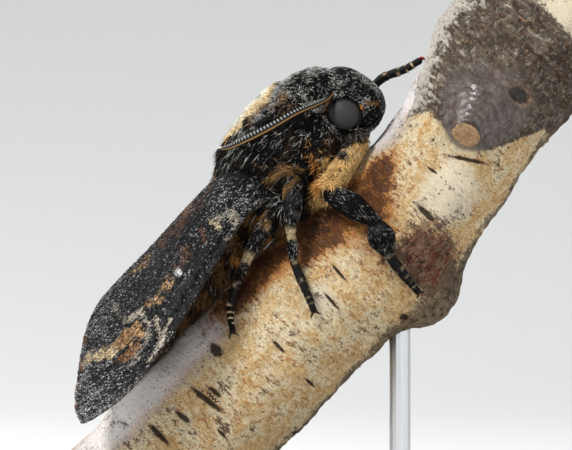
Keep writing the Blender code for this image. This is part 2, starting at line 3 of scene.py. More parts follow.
import bpy
import numpy as np
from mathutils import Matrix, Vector


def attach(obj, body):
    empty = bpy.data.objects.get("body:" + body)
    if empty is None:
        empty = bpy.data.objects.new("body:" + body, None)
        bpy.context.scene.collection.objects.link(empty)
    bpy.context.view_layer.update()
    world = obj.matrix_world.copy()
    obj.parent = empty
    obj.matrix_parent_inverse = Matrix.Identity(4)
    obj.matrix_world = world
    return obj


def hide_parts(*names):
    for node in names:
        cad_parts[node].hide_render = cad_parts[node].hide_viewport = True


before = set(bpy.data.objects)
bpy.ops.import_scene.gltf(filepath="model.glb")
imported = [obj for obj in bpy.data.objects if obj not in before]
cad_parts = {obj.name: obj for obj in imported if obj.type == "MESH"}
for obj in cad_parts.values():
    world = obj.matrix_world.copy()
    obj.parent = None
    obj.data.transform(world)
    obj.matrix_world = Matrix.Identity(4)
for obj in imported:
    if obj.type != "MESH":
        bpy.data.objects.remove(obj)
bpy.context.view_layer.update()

# Sizes are millimetres in the perch frame: x runs up the branch's axis, y to the moth's left,
# z out of its back. toWorld turns them by the branch's rise and gives the world's metres.
perch = {"rise": math.radians(46.2), "x": -18.0, "z": 36.0, "unit": 0.001}
sides = (("Right", -1), ("Left", 1))  # each side's name and the sign of its y


def toWorld(points):
    points = np.asarray(points, dtype=float)
    x, y, z = points[..., 0], points[..., 1], points[..., 2]
    across, up = math.cos(perch["rise"]), math.sin(perch["rise"])
    world = (perch["x"] + x * across - z * up, y, perch["z"] + x * up + z * across)
    return np.stack(world, axis=-1) * perch["unit"]


def toPerch(world):
    world = np.asarray(world, dtype=float) / perch["unit"]
    x, y, z = world[..., 0] - perch["x"], world[..., 1], world[..., 2] - perch["z"]
    across, up = math.cos(perch["rise"]), math.sin(perch["rise"])
    return np.stack((x * across + z * up, y, z * across - x * up), axis=-1)


def smoothStep(value, low=0.0, high=1.0):
    # 0 below low, 1 above high, and 3t^2 - 2t^3 between them.
    t = np.clip((np.asarray(value, dtype=float) - low) / (high - low), 0.0, 1.0)
    return t * t * (3.0 - 2.0 * t)


def hill(value):
    # A bell: one at zero, falling as exp of minus the square.
    return np.exp(-np.asarray(value, dtype=float) ** 2)


def unit(vectors):
    # Each vector over its own length.
    return vectors / np.maximum(np.linalg.norm(vectors, axis=-1, keepdims=True), 1e-9)


def turnsOf(count):
    # Angles that go once round in even steps.
    return np.arange(count) * 2 * math.pi / count


def curveAt(points, places):
    # A Catmull-Rom curve through the points, read at places counted in points from the first.
    rows = np.array(points, dtype=float).reshape(len(points), -1)
    padded = np.vstack((2 * rows[0] - rows[1], rows, 2 * rows[-1] - rows[-2]))
    places = np.clip(np.asarray(places, dtype=float), 0.0, len(rows) - 1.0)
    first = np.minimum(places.astype(int), len(rows) - 2)
    t = (places - first)[..., None]
    a, b, c, d = (padded[first + step] for step in range(4))
    return 0.5 * (2 * b + (c - a) * t + (2 * a - 5 * b + 4 * c - d) * t ** 2
                  + (3 * b - a - 3 * c + d) * t ** 3)


def curveThrough(points, count):
    # The same curve from its first to its last point, read at even steps.
    return curveAt(points, np.linspace(0.0, len(points) - 1.0, count))


def noise(points, size, seed, layers=1):
    # Value noise: a random number at every corner of a lattice of that size, blended by smooth
    # steps; each further layer is half as large and half as strong. From about -1 to 1.
    total = 0.0
    reach = 0.0
    for layer in range(layers):
        place = np.asarray(points, dtype=float) / (np.asarray(size) * 0.5 ** layer)
        corner = np.floor(place).astype(np.int64)
        t = place - corner
        t = t * t * (3.0 - 2.0 * t)
        for step in range(8):
            offset = np.array((step & 1, step >> 1 & 1, step >> 2 & 1))
            cell = corner + offset
            mixed = cell[..., 0] * 73856093 ^ cell[..., 1] * 19349663 ^ cell[..., 2] * 83492791
            mixed = (mixed ^ (seed + 17 * layer) * 2654435761) & 0x7FFFFFFF
            mixed = ((mixed ^ mixed >> 13) * 1274126177) & 0x7FFFFFFF
            value = ((mixed ^ mixed >> 16) & 0xFFFF) / 32767.5 - 1.0
            total = total + 0.5 ** layer * value * np.where(offset, t, 1.0 - t).prod(axis=-1)
        reach += 0.5 ** layer
    return total / reach


def meshOf(name, points, faceSets):
    # faceSets are whole arrays of vertex numbers, one array for triangles and one for quads.
    mesh = bpy.data.meshes.new(name)
    faceSets = [np.asarray(faces, dtype=np.int32) for faces in faceSets if len(faces)]
    sizes = np.concatenate([np.full(len(faces), faces.shape[1]) for faces in faceSets])
    corners = np.concatenate([faces.ravel() for faces in faceSets])
    mesh.vertices.add(len(points))
    mesh.vertices.foreach_set("co", toWorld(points).astype(np.float32).ravel())
    mesh.loops.add(len(corners))
    mesh.loops.foreach_set("vertex_index", corners)
    mesh.polygons.add(len(sizes))
    mesh.polygons.foreach_set("loop_start", (np.cumsum(sizes) - sizes).astype(np.int32))
    mesh.update(calc_edges=True)
    mesh.validate()
    return mesh


def readRows(items, attribute, kind, width):
    # One attribute of all of a mesh's items, as an array with a row for each.
    values = np.zeros(len(items) * width, kind)
    items.foreach_get(attribute, values)
    return values.reshape(-1, width)


def placed(name, mesh, material):
    # The mesh as a smooth object in the scene, in its material.
    mesh.polygons.foreach_set("use_smooth", np.ones(len(mesh.polygons), bool))
    mesh.materials.append(material)
    item = bpy.data.objects.new(name, mesh)
    bpy.context.scene.collection.objects.link(item)
    return item


def makePiece(name, points, faceSets, material, stands=(), colours=None, bakeUv=None, fields=None):
    # A finished piece: its mesh in place, its colours on the points, and its OFBake map on the corners.
    mesh = meshOf(name, points, faceSets)
    if colours is not None:
        full = np.ones((len(points), 4), np.float32)
        full[:, :3] = np.clip(colours, 0.0, 1.0)
        mesh.attributes.new("coat", "FLOAT_COLOR", "POINT").data.foreach_set("color", full.ravel())
    for field, values in (fields or {}).items():
        layer = mesh.attributes.new(field, "FLOAT_VECTOR", "POINT")
        layer.data.foreach_set("vector", np.asarray(values, np.float32).ravel())
    if bakeUv is not None:
        corners = readRows(mesh.loops, "vertex_index", np.int32, 1)[:, 0]
        mesh.uv_layers.new(name="OFBake").data.foreach_set("uv", bakeUv[corners].astype(np.float32).ravel())
    piece = placed(name, mesh, material)
    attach(piece, "root")
    if stands:
        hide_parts(*stands)


def outward(points, quads, triangles):
    # Turns all the faces round if the shell's signed volume is negative.
    corners = points[np.concatenate((triangles, quads[:, :3], quads[:, (0, 2, 3)]))]
    volume = np.einsum("ij,ij->i", corners[:, 0], np.cross(corners[:, 1], corners[:, 2])).sum()
    if volume < 0:
        quads, triangles = quads[:, ::-1], triangles[:, ::-1]
    return quads, triangles


def tube(rings):
    # A closed shell from rings of points: quads between the rings, and a fan over each end.
    rows, sides = rings.shape[:2]
    ids = np.arange(rows * sides).reshape(rows, sides)
    after = np.roll(ids, -1, axis=1)
    quads = np.stack((ids[:-1], after[:-1], after[1:], ids[1:]), axis=-1).reshape(-1, 4)
    middle = rows * sides
    low = np.stack((after[0], ids[0], np.full(sides, middle)), axis=-1)
    high = np.stack((ids[-1], after[-1], np.full(sides, middle + 1)), axis=-1)
    ends = np.stack((rings[0].mean(axis=0), rings[-1].mean(axis=0)))
    points = np.concatenate((rings.reshape(-1, 3), ends))
    return (points, *outward(points, quads, np.concatenate((low, high))))


def joined(shells):
    # Several closed shells as one set of points, quads and triangles.
    starts = np.cumsum([0] + [len(shell[0]) for shell in shells])
    return [np.concatenate([shell[part] + start * (part > 0) for shell, start in zip(shells, starts)])
            for part in range(3)]


def ovalOutline(count, squareness=2.0):
    # Cosine and sine raised to a power, which squares the oval's shoulders.
    return [np.sign(wave) * np.abs(wave) ** (2.0 / squareness)
            for wave in (np.cos(turnsOf(count)), np.sin(turnsOf(count)))]


def carriedFrame(middle):
    # Heading, side and up along a path, the side carried on from ring to ring without a twist.
    heading = unit(np.gradient(middle, axis=0))
    side = [unit(np.cross(heading[0], (0.31, 0.17, 0.94)))]
    for ahead in heading[1:]:
        side.append(unit(side[-1] - ahead * np.dot(side[-1], ahead)))
    side = np.array(side)
    return heading, side, np.cross(heading, side)


def ringsAround(middle, size, outline, side, up):
    # A ring of points round each point of a path: the outline along side and up, times the size.
    across, over = (part[None, :, None] for part in outline)
    return middle[:, None] + size.reshape(len(middle), -1, 1) * (across * side[:, None] + over * up[:, None])


def limbTube(points, radii, count, steps):
    # A round tube along a smooth path with a dome at each end; radii are read along it.
    middle = curveThrough(points, steps)
    radius = curveThrough(radii, steps)[:, 0]
    heading, side, up = carriedFrame(middle)
    domes = np.radians((84.0, 60.0, 30.0))
    pick = np.concatenate((np.zeros(3, int), np.arange(steps), np.full(3, steps - 1)))
    shrink = np.concatenate((np.cos(domes), np.ones(steps), np.cos(domes[::-1])))
    push = np.concatenate((-np.sin(domes), np.zeros(steps), np.sin(domes[::-1])))
    centre = middle[pick] + heading[pick] * (radius[pick] * push)[:, None]
    return tube(ringsAround(centre, radius[pick] * shrink, ovalOutline(count), side[pick], up[pick]))


def remeshed(name, shells, voxel, smoothing):
    # One closed skin over overlapping shells: Blender's voxel remesh, then each point moved
    # half way to its neighbours' mean, as often as asked.
    points, quads, triangles = joined(shells)
    raw = bpy.data.objects.new(name, meshOf(name, points, (triangles, quads)))
    bpy.context.scene.collection.objects.link(raw)
    change = raw.modifiers.new("skin", "REMESH")
    change.mode = "VOXEL"
    change.voxel_size = voxel * perch["unit"]
    depsgraph = bpy.context.evaluated_depsgraph_get()
    mesh = bpy.data.meshes.new_from_object(raw.evaluated_get(depsgraph))
    mesh.calc_loop_triangles()
    points = toPerch(readRows(mesh.vertices, "co", np.float32, 3))
    faces = readRows(mesh.loop_triangles, "vertices", np.int32, 3)
    low, high = readRows(mesh.edges, "vertices", np.int32, 2).T
    bpy.data.objects.remove(raw, do_unlink=True)
    bpy.data.meshes.remove(mesh)
    count = len(points)
    degree = np.bincount(np.concatenate((low, high)), minlength=count)[:, None]
    for _ in range(smoothing):
        total = np.stack([np.bincount(low, points[high, k], count) + np.bincount(high, points[low, k], count)
                          for k in range(3)], axis=-1)
        points = 0.5 * points + 0.5 * total / degree
    return points, faces


def pointNormals(points, triangles):
    # The sum of the normals of the triangles round each point, large triangles counting more.
    corners = points[triangles]
    face = np.cross(corners[:, 1] - corners[:, 0], corners[:, 2] - corners[:, 0])
    total = np.stack([np.bincount(triangles.ravel(), np.repeat(face[:, k], 3), len(points))
                      for k in range(3)], axis=-1)
    return unit(total)


class Wire:
    # One socket of a sheet. Sums on wires add Math nodes, so that 1 - mask works.
    def __init__(self, sheet, socket):
        self.sheet = sheet
        self.socket = socket

    def maths(self, operation, *others):
        return self.sheet.add("ShaderNodeMath", {"operation": operation}, dict(enumerate(others)))

    def __add__(self, other):
        return self.maths("ADD", self, other)

    def __sub__(self, other):
        return self.maths("SUBTRACT", self, other)

    def __rsub__(self, other):
        return self.maths("SUBTRACT", other, self)

    def __mul__(self, other):
        return self.maths("MULTIPLY", self, other)

    __radd__ = __add__
    __rmul__ = __mul__

    def between(self, low, high):
        # A smooth step from 0 at low to 1 at high.
        return self.sheet.add("ShaderNodeMapRange", {"interpolation_type": "SMOOTHSTEP"},
                              {"Value": self, "From Min": low, "From Max": high})

    def until(self, low, high):
        # A smooth step from 1 at low to 0 at high.
        return 1.0 - self.between(low, high)


class Sheet:
    # One material. add makes any node from its type, its settings and its sockets' values or links.
    def __init__(self, name, roughness, **fixed):
        self.material = bpy.data.materials.new(name)
        self.material.use_nodes = True
        self.nodes = self.material.node_tree.nodes
        self.links = self.material.node_tree.links
        self.shader = self.nodes["Principled BSDF"]
        self.give("Roughness", roughness)
        for socket, value in fixed.items():
            self.give(socket.replace("_", " "), value)

    def add(self, kind, settings=None, sockets=None, output=0):
        node = self.nodes.new(kind)
        for setting, value in (settings or {}).items():
            setattr(node, setting, value)
        for socket, value in (sockets or {}).items():
            self.feed(node.inputs[socket], value)
        return Wire(self, node.outputs[output])

    def feed(self, socket, value):
        if isinstance(value, Wire):
            self.links.new(value.socket, socket)
        elif isinstance(value, tuple) and socket.type == "RGBA":
            socket.default_value = (*value, 1.0)
        else:
            socket.default_value = value

    def give(self, socket, value):
        self.feed(self.shader.inputs[socket], value)

    def place(self):
        return self.add("ShaderNodeTexCoord", output="Object")

    def field(self, name, output="Vector"):
        return self.add("ShaderNodeAttribute", {"attribute_name": name}, output=output)

    def parts(self, vector):
        # The three numbers of a vector, each as its own wire.
        node = self.add("ShaderNodeSeparateXYZ", {}, {0: vector}).socket.node
        return [Wire(self, output) for output in node.outputs]

    def scaled(self, vector, scale):
        return self.add("ShaderNodeVectorMath", {"operation": "MULTIPLY"}, {0: vector, 1: scale})

    def length(self, vector):
        return self.add("ShaderNodeVectorMath", {"operation": "LENGTH"}, {0: vector}, output=1)

    def clouds(self, vector, scale, detail=3.0, roughness=0.55, distortion=0.0):
        return self.add("ShaderNodeTexNoise", {}, {"Vector": vector, "Scale": scale, "Detail": detail,
                                                   "Roughness": roughness, "Distortion": distortion})

    def cells(self, vector, scale):
        # The distance to the nearest of points strewn about.
        return self.add("ShaderNodeTexVoronoi", {}, {"Vector": vector, "Scale": scale}, output="Distance")

    def blend(self, share, first, second, how="MIX"):
        return self.add("ShaderNodeMix", {"data_type": "RGBA", "blend_type": how},
                        {0: share, 6: first, 7: second}, output=2)

    def dimmed(self, tone, shade):
        # The tone times a shade.
        return self.blend(1.0, tone, shade, "MULTIPLY")

    def layers(self, tone, *rows):
        # Colours laid one over another, each by its own share.
        for share, colour in rows:
            tone = self.blend(share, tone, colour)
        return tone

    def relief(self, height, depth):
        # Bump: depth is in metres.
        self.give("Normal", self.add("ShaderNodeBump", {}, {"Height": height, "Distance": depth}))


def ownSheet(name, roughness, grain, detail, **fixed):
    # A sheet, the wire of its piece's own colours, and fine noise.
    sheet = Sheet(name, roughness, **fixed)
    return sheet, sheet.field("coat", "Color"), sheet.clouds(sheet.place(), grain, detail)


def coatSheet(name, roughness, grain, depth, **fixed):
    # Fur and scales: the piece's own colours, made a little uneven by fine noise.
    sheet, own, fine = ownSheet(name, roughness, grain, 4.0, **fixed)
    sheet.give("Base Color", sheet.blend(fine.between(0.3, 0.62), sheet.dimmed(own, (0.45, 0.43, 0.42)), own))
    if depth:
        sheet.relief(fine, depth)
    return sheet.material


print("frame loaded, helpers ready")

# The camera looks level along +Y; its lens and place put the moth as the photo does.
camera = {"place": (-0.01009, -0.5, 0.06078), "lens": 210.8, "sensor": 36.0, "near": 0.01}
cameraData = bpy.data.cameras.new("camera")
cameraData.lens = camera["lens"]
cameraData.sensor_width = camera["sensor"]
cameraData.clip_start = camera["near"]
cameraObject = bpy.data.objects.new("camera", cameraData)
cameraObject.location = camera["place"]
cameraObject.rotation_euler = (math.pi / 2, 0.0, 0.0)
bpy.context.scene.collection.objects.link(cameraObject)
bpy.context.scene.camera = cameraObject
bpy.context.scene.view_settings.view_transform = "Standard"

studio = {
    "key": {"place": (-0.42, -0.40, 0.66), "aim": (0.0, 0.0, 0.06), "size": 0.22, "power": 8.2},
    "fill": {"place": (0.55, -0.50, 0.22), "aim": (0.0, 0.0, 0.05), "size": 0.6, "power": 1.5},
    "back": {"place": (-0.55, 0.28, 0.62), "aim": (0.0, 0.0, 0.06), "size": 0.5, "power": 4.0},
    "sky": (0.95, 0.97, 1.0), "skyStrength": 0.56,
    "floorColour": (0.80, 0.80, 0.79), "floorShade": (0.776, 0.776, 0.7663), "floorGrain": 900.0,
    "floorRings": 48, "floorSides": 96, "floorMiddle": 0.05, "floorReach": 3.2,
    "floorFlat": 0.6, "floorSteep": 3.8, "floorHeight": 2.4,
}


def makeLight(name, place, aim, size, power):
    data = bpy.data.lights.new(name, "AREA")
    data.shape = "DISK"
    data.size = size
    data.energy = power
    light = bpy.data.objects.new(name, data)
    light.location = place
    heading = Vector(aim) - Vector(place)
    light.rotation_euler = heading.to_track_quat("-Z", "Y").to_euler()
    bpy.context.scene.collection.objects.link(light)


def makeFloor():
    # A shallow bowl, flat in the middle, that rises all round as a smooth step of the distance.
    sheet = Sheet("paleFloor", 0.85)
    fine = sheet.clouds(sheet.place(), studio["floorGrain"], 2.0)
    sheet.give("Base Color", sheet.blend(fine, studio["floorColour"], studio["floorShade"]))
    rows, count = studio["floorRings"], studio["floorSides"]
    radius = np.linspace(studio["floorMiddle"], studio["floorReach"], rows)
    radius, angle = np.meshgrid(radius, turnsOf(count), indexing="ij")
    height = studio["floorHeight"] * smoothStep(radius, studio["floorFlat"], studio["floorSteep"])
    rings = np.stack((radius * np.cos(angle), radius * np.sin(angle), height), axis=-1)
    ids = np.arange(rows * count).reshape(rows, count)
    after = np.roll(ids, -1, axis=1)
    quads = np.stack((ids[:-1], ids[1:], after[1:], after[:-1]), axis=-1).reshape(-1, 4)
    hub = np.stack((ids[0], after[0], np.full(count, rows * count)), axis=-1)
    points = np.concatenate((rings.reshape(-1, 3), np.zeros((1, 3))))
    floor = placed("floor", meshOf("floor", toPerch(points), (hub, quads)), sheet.material)


for lightName in ("key", "fill", "back"):
    makeLight(lightName, **studio[lightName])
world = bpy.data.worlds.new("studio")
world.use_nodes = True
sky = world.node_tree.nodes["Background"]
sky.inputs["Color"].default_value = (*studio["sky"], 1.0)
sky.inputs["Strength"].default_value = studio["skyStrength"]
bpy.context.scene.world = world
makeFloor()
print("camera, lights and floor")

# The branch: its trunk's sizes, its knob, crest, swelling and cut twig, and the skin's cell size.
branch = {
    "radius": 11.3, "low": -27.0, "high": 80.0, "rise": 4.5, "bendStart": 42.0, "bendLength": 24.0,
    "knobHeight": 4.2, "knobAt": 29.5, "knobAngle": math.radians(172.0),
    "crestHeight": 0.45, "crestAt": 0.0, "crestLength": 11.0,
    "swellingHeight": 2.0, "swellingAt": 60.0, "swellingAngle": math.radians(84.0),
    "stubRoot": (58.5, -7.0, 3.4), "stubTip": (50.6, -15.2, 1.6), "stubRootRadius": 8.0, "stubTipRadius": 2.3,
    "voxel": 0.385, "around": 11.5, "trunkGrid": (180, 120), "twigGrid": (20, 40),
}


def branchShape(x, angle):
    # Height of the axis, and the radius at an angle from the top towards the moth's right: a waist before
    # the bend, a knob below, a low crest, and a swelling round the cut twig, with two slow waves.
    centre = branch["rise"] * smoothStep((x - branch["bendStart"]) / branch["bendLength"])
    radius = branch["radius"] - 0.8 * hill((x - 47.0) / 8.0) + 0.8 * smoothStep((x - 54.0) / 8.0)
    spread = np.where(x < branch["knobAt"], 4.6, 7.0)
    lumps = ((branch["knobHeight"], branch["knobAt"], spread, branch["knobAngle"], 4),
             (branch["crestHeight"], branch["crestAt"], branch["crestLength"], 0.0, 2),
             (branch["swellingHeight"], branch["swellingAt"], 7.0, branch["swellingAngle"], 3))
    for height, place, length, turn, power in lumps:
        radius = radius + height * hill((x - place) / length) * np.maximum(np.cos(angle - turn), 0.0) ** power
    radius = radius + 0.16 * np.sin(0.42 * x + 2.0 * angle) + 0.12 * np.sin(0.85 * x - 3.0 * angle + 1.0)
    return centre, radius


def onBranch(x, degrees, lift):
    # The point at x, at an angle from the top, and lifted off the bark.
    angle = math.radians(degrees)
    centre, radius = branchShape(np.float64(x), angle)
    return np.array((x, -(radius + lift) * math.sin(angle), centre + (radius + lift) * math.cos(angle)))


def branchPlace(points):
    # Where points lie round the branch: along it, the angle from its top, and the distance from its axis.
    centre = branchShape(points[:, 0], 0.0)[0]
    angle = np.arctan2(-points[:, 1], points[:, 2] - centre)
    return points[:, 0], angle, np.hypot(points[:, 1], points[:, 2] - centre)


def keepOff(points, gap):
    # Points nearer to the bark than the gap move straight out of it.
    x, angle, off = branchPlace(points)
    near = np.maximum(branchShape(x, angle)[1] + gap - off, 0.0)
    points[:, 1] -= np.sin(angle) * near
    points[:, 2] += np.cos(angle) * near


def stubPlace(points):
    # Along the twig's axis from root to cut, 0 to 1; the distance from that axis; the angle round it.
    root, tip = np.array(branch["stubRoot"]), np.array(branch["stubTip"])
    axis = tip - root
    span = np.linalg.norm(axis)
    axis = axis / span
    along = (points - root) @ axis
    off = points - root - along[:, None] * axis
    side = unit(np.cross(axis, (0.0, 0.0, 1.0)))
    return along / span, np.linalg.norm(off, axis=1), np.arctan2(off @ np.cross(axis, side), off @ side)


def twigRadius(share):
    # From the root's radius to the cut's, narrowing fastest at the root.
    root, cut = branch["stubRootRadius"], branch["stubTipRadius"]
    return cut + (root - cut) * (1 - share) ** 1.6


# Marks on the bark: x, degrees round it, half length across, half width, tilt, and 1 if only outlined.
barkMarks = (
    (38.8, 102.0, 1.8, 0.42, 0.0, 0), (23.7, 84.0, 1.6, 0.2, -5.0, 0), (19.9, 96.0, 1.7, 0.22, -5.0, 0),
    (25.5, 147.0, 0.75, 0.55, 0.0, 0), (3.1, 56.0, 1.3, 0.75, 0.0, 0), (-3.1, 79.0, 3.0, 0.4, 6.0, 0),
    (-11.6, 70.0, 2.1, 0.42, -1.0, 0), (9.8, 90.0, 1.2, 0.25, 0.0, 0), (9.1, 129.0, 1.2, 0.22, 0.0, 0),
    (-5.1, 105.0, 0.9, 0.2, 0.0, 0), (-1.4, 79.0, 1.3, 0.4, 4.0, 1), (-7.3, 74.0, 1.4, 0.42, 4.0, 1),
    (60.6, 108.0, 1.7, 1.0, 20.0, 0), (48.7, 102.0, 3.4, 0.24, 26.0, 0), (54.4, 171.0, 4.0, 0.28, -65.0, 0),
    (31.6, 90.0, 1.5, 0.2, 10.0, 0), (-16.0, 96.0, 1.6, 0.3, 4.0, 0), (-21.0, 60.0, 1.5, 0.35, -4.0, 0),
    (44.0, 82.0, 0.9, 0.2, 8.0, 0), (6.0, -70.0, 2.0, 0.4, 0.0, 0), (33.0, -95.0, 1.6, 0.35, 10.0, 0),
    (-12.0, -120.0, 1.8, 0.4, 0.0, 0), (20.0, -150.0, 1.5, 0.35, -8.0, 0), (47.0, -60.0, 1.2, 0.4, 0.0, 0),
    (-18.0, 150.0, 1.2, 0.3, 0.0, 0), (14.0, -35.0, 1.1, 0.3, 12.0, 0), (-9.0, 140.0, 1.0, 0.25, 0.0, 0),
    (2.0, 170.0, 1.7, 0.4, 0.0, 0),
)


def nearestMark(x, turn):
    # The nearest mark's own axes, its half sizes being 1; anything over 4 away has a third part instead.
    best = np.full(len(x), 4.0)
    spot = np.tile(np.array((3.0, 3.0, 8.0)), (len(x), 1))
    for at, degrees, half, wide, tilt, outlined in barkMarks:
        tilt = math.radians(tilt)
        dx = x - at
        dy = np.radians((turn - degrees + 180.0) % 360.0 - 180.0) * branch["around"]
        own = np.stack(((dx * math.sin(tilt) + dy * math.cos(tilt)) / half,
                        (dx * math.cos(tilt) - dy * math.sin(tilt)) / wide,
                        np.full(len(x), 0.45 * outlined)), axis=1)
        away = np.hypot(own[:, 0], own[:, 1])
        take = away < best
        best[take] = away[take]
        spot[take] = own[take]
    return spot, best


# Stains, each a sum of bells: strength, x and its reach along the branch, degrees and their reach round it.
rustAndShadowSpots = (
    # The first four spots lie under the moth's body: they are rust and painted shadow of the moth in one.
    (1.15, 25.5, 7.0, 44.0, 24.0), (0.85, 33.5, 5.5, 54.0, 20.0), (0.6, 39.5, 4.0, 48.0, 15.0),
    (1.05, 13.0, 9.0, 32.0, 20.0), (0.5, 33.0, 6.0, 84.0, 24.0), (0.33, 27.0, 6.0, 110.0, 22.0),
    *((0.42, x, 2.4, turn, 9.0) for x, turn in ((6.1, 121.0), (0.3, 128.0), (-14.0, 100.0), (-6.0, -60.0),
                                                (24.0, -90.0), (41.0, -70.0))),
)
creamSpots = ((1.0, 43.5, 6.0, 104.0, 30.0), (0.7, 19.0, 4.0, 88.0, 22.0))
# The lower edge of the rough node: x at degrees round the branch.
nodeEdge = {"turn": (-180.0, -60.0, 0.0, 33.0, 50.0, 80.0, 107.0, 130.0, 149.0, 180.0),
            "x": (58.0, 52.0, 58.0, 47.0, 50.0, 49.5, 51.0, 56.1, 60.0, 60.0), "end": 72.5}


def barkStains(points):
    # Smooth shares, sharpened later by the sheet's noise: rust, partly painted shadow under the moth; node;
    # silver bark with a painted highlight along the top; red wood; grey knob with painted shade along the
    # underside; cream.
    x, angle, _ = branchPlace(points)
    turn = np.degrees(angle)

    def bells(spots):
        return sum(strength * hill((x - at) / reach) * hill((turn - degrees) / spread)
                   for strength, at, reach, degrees, spread in spots)

    low = np.interp(turn, nodeEdge["turn"], nodeEdge["x"])
    node = smoothStep(x - low, -1.2, 1.6) * smoothStep(nodeEdge["end"] - x, -1.0, 2.0)
    # Silvery bark along the branch's visible top, with a painted highlight: the near-white strip stands for
    # light on the top edge.
    silverAndHighlight = 1.1 * hill((turn - 30.0) / 26.0) * smoothStep(9.0 - x, -3.0, 6.0)
    silverAndHighlight = silverAndHighlight + hill((turn - 5.0) / 33.0) * smoothStep(x, 36.0, 42.0)
    red = bells(((1.1, 34.5, 4.6, 128.0, 27.0),))
    # The grey knob, and painted shade along the whole underside from 138 degrees round on.
    knobAndUnderShade = hill((x - 29.0) / 8.0) * hill((np.abs(turn) - 176.0) / 42.0) + 0.7 * smoothStep(turn, 138.0, 172.0)
    cream = bells(creamSpots) + smoothStep(x, 70.0, 73.0)
    return np.stack((bells(rustAndShadowSpots), node, silverAndHighlight), axis=1), np.stack((red, knobAndUnderShade, cream), axis=1)


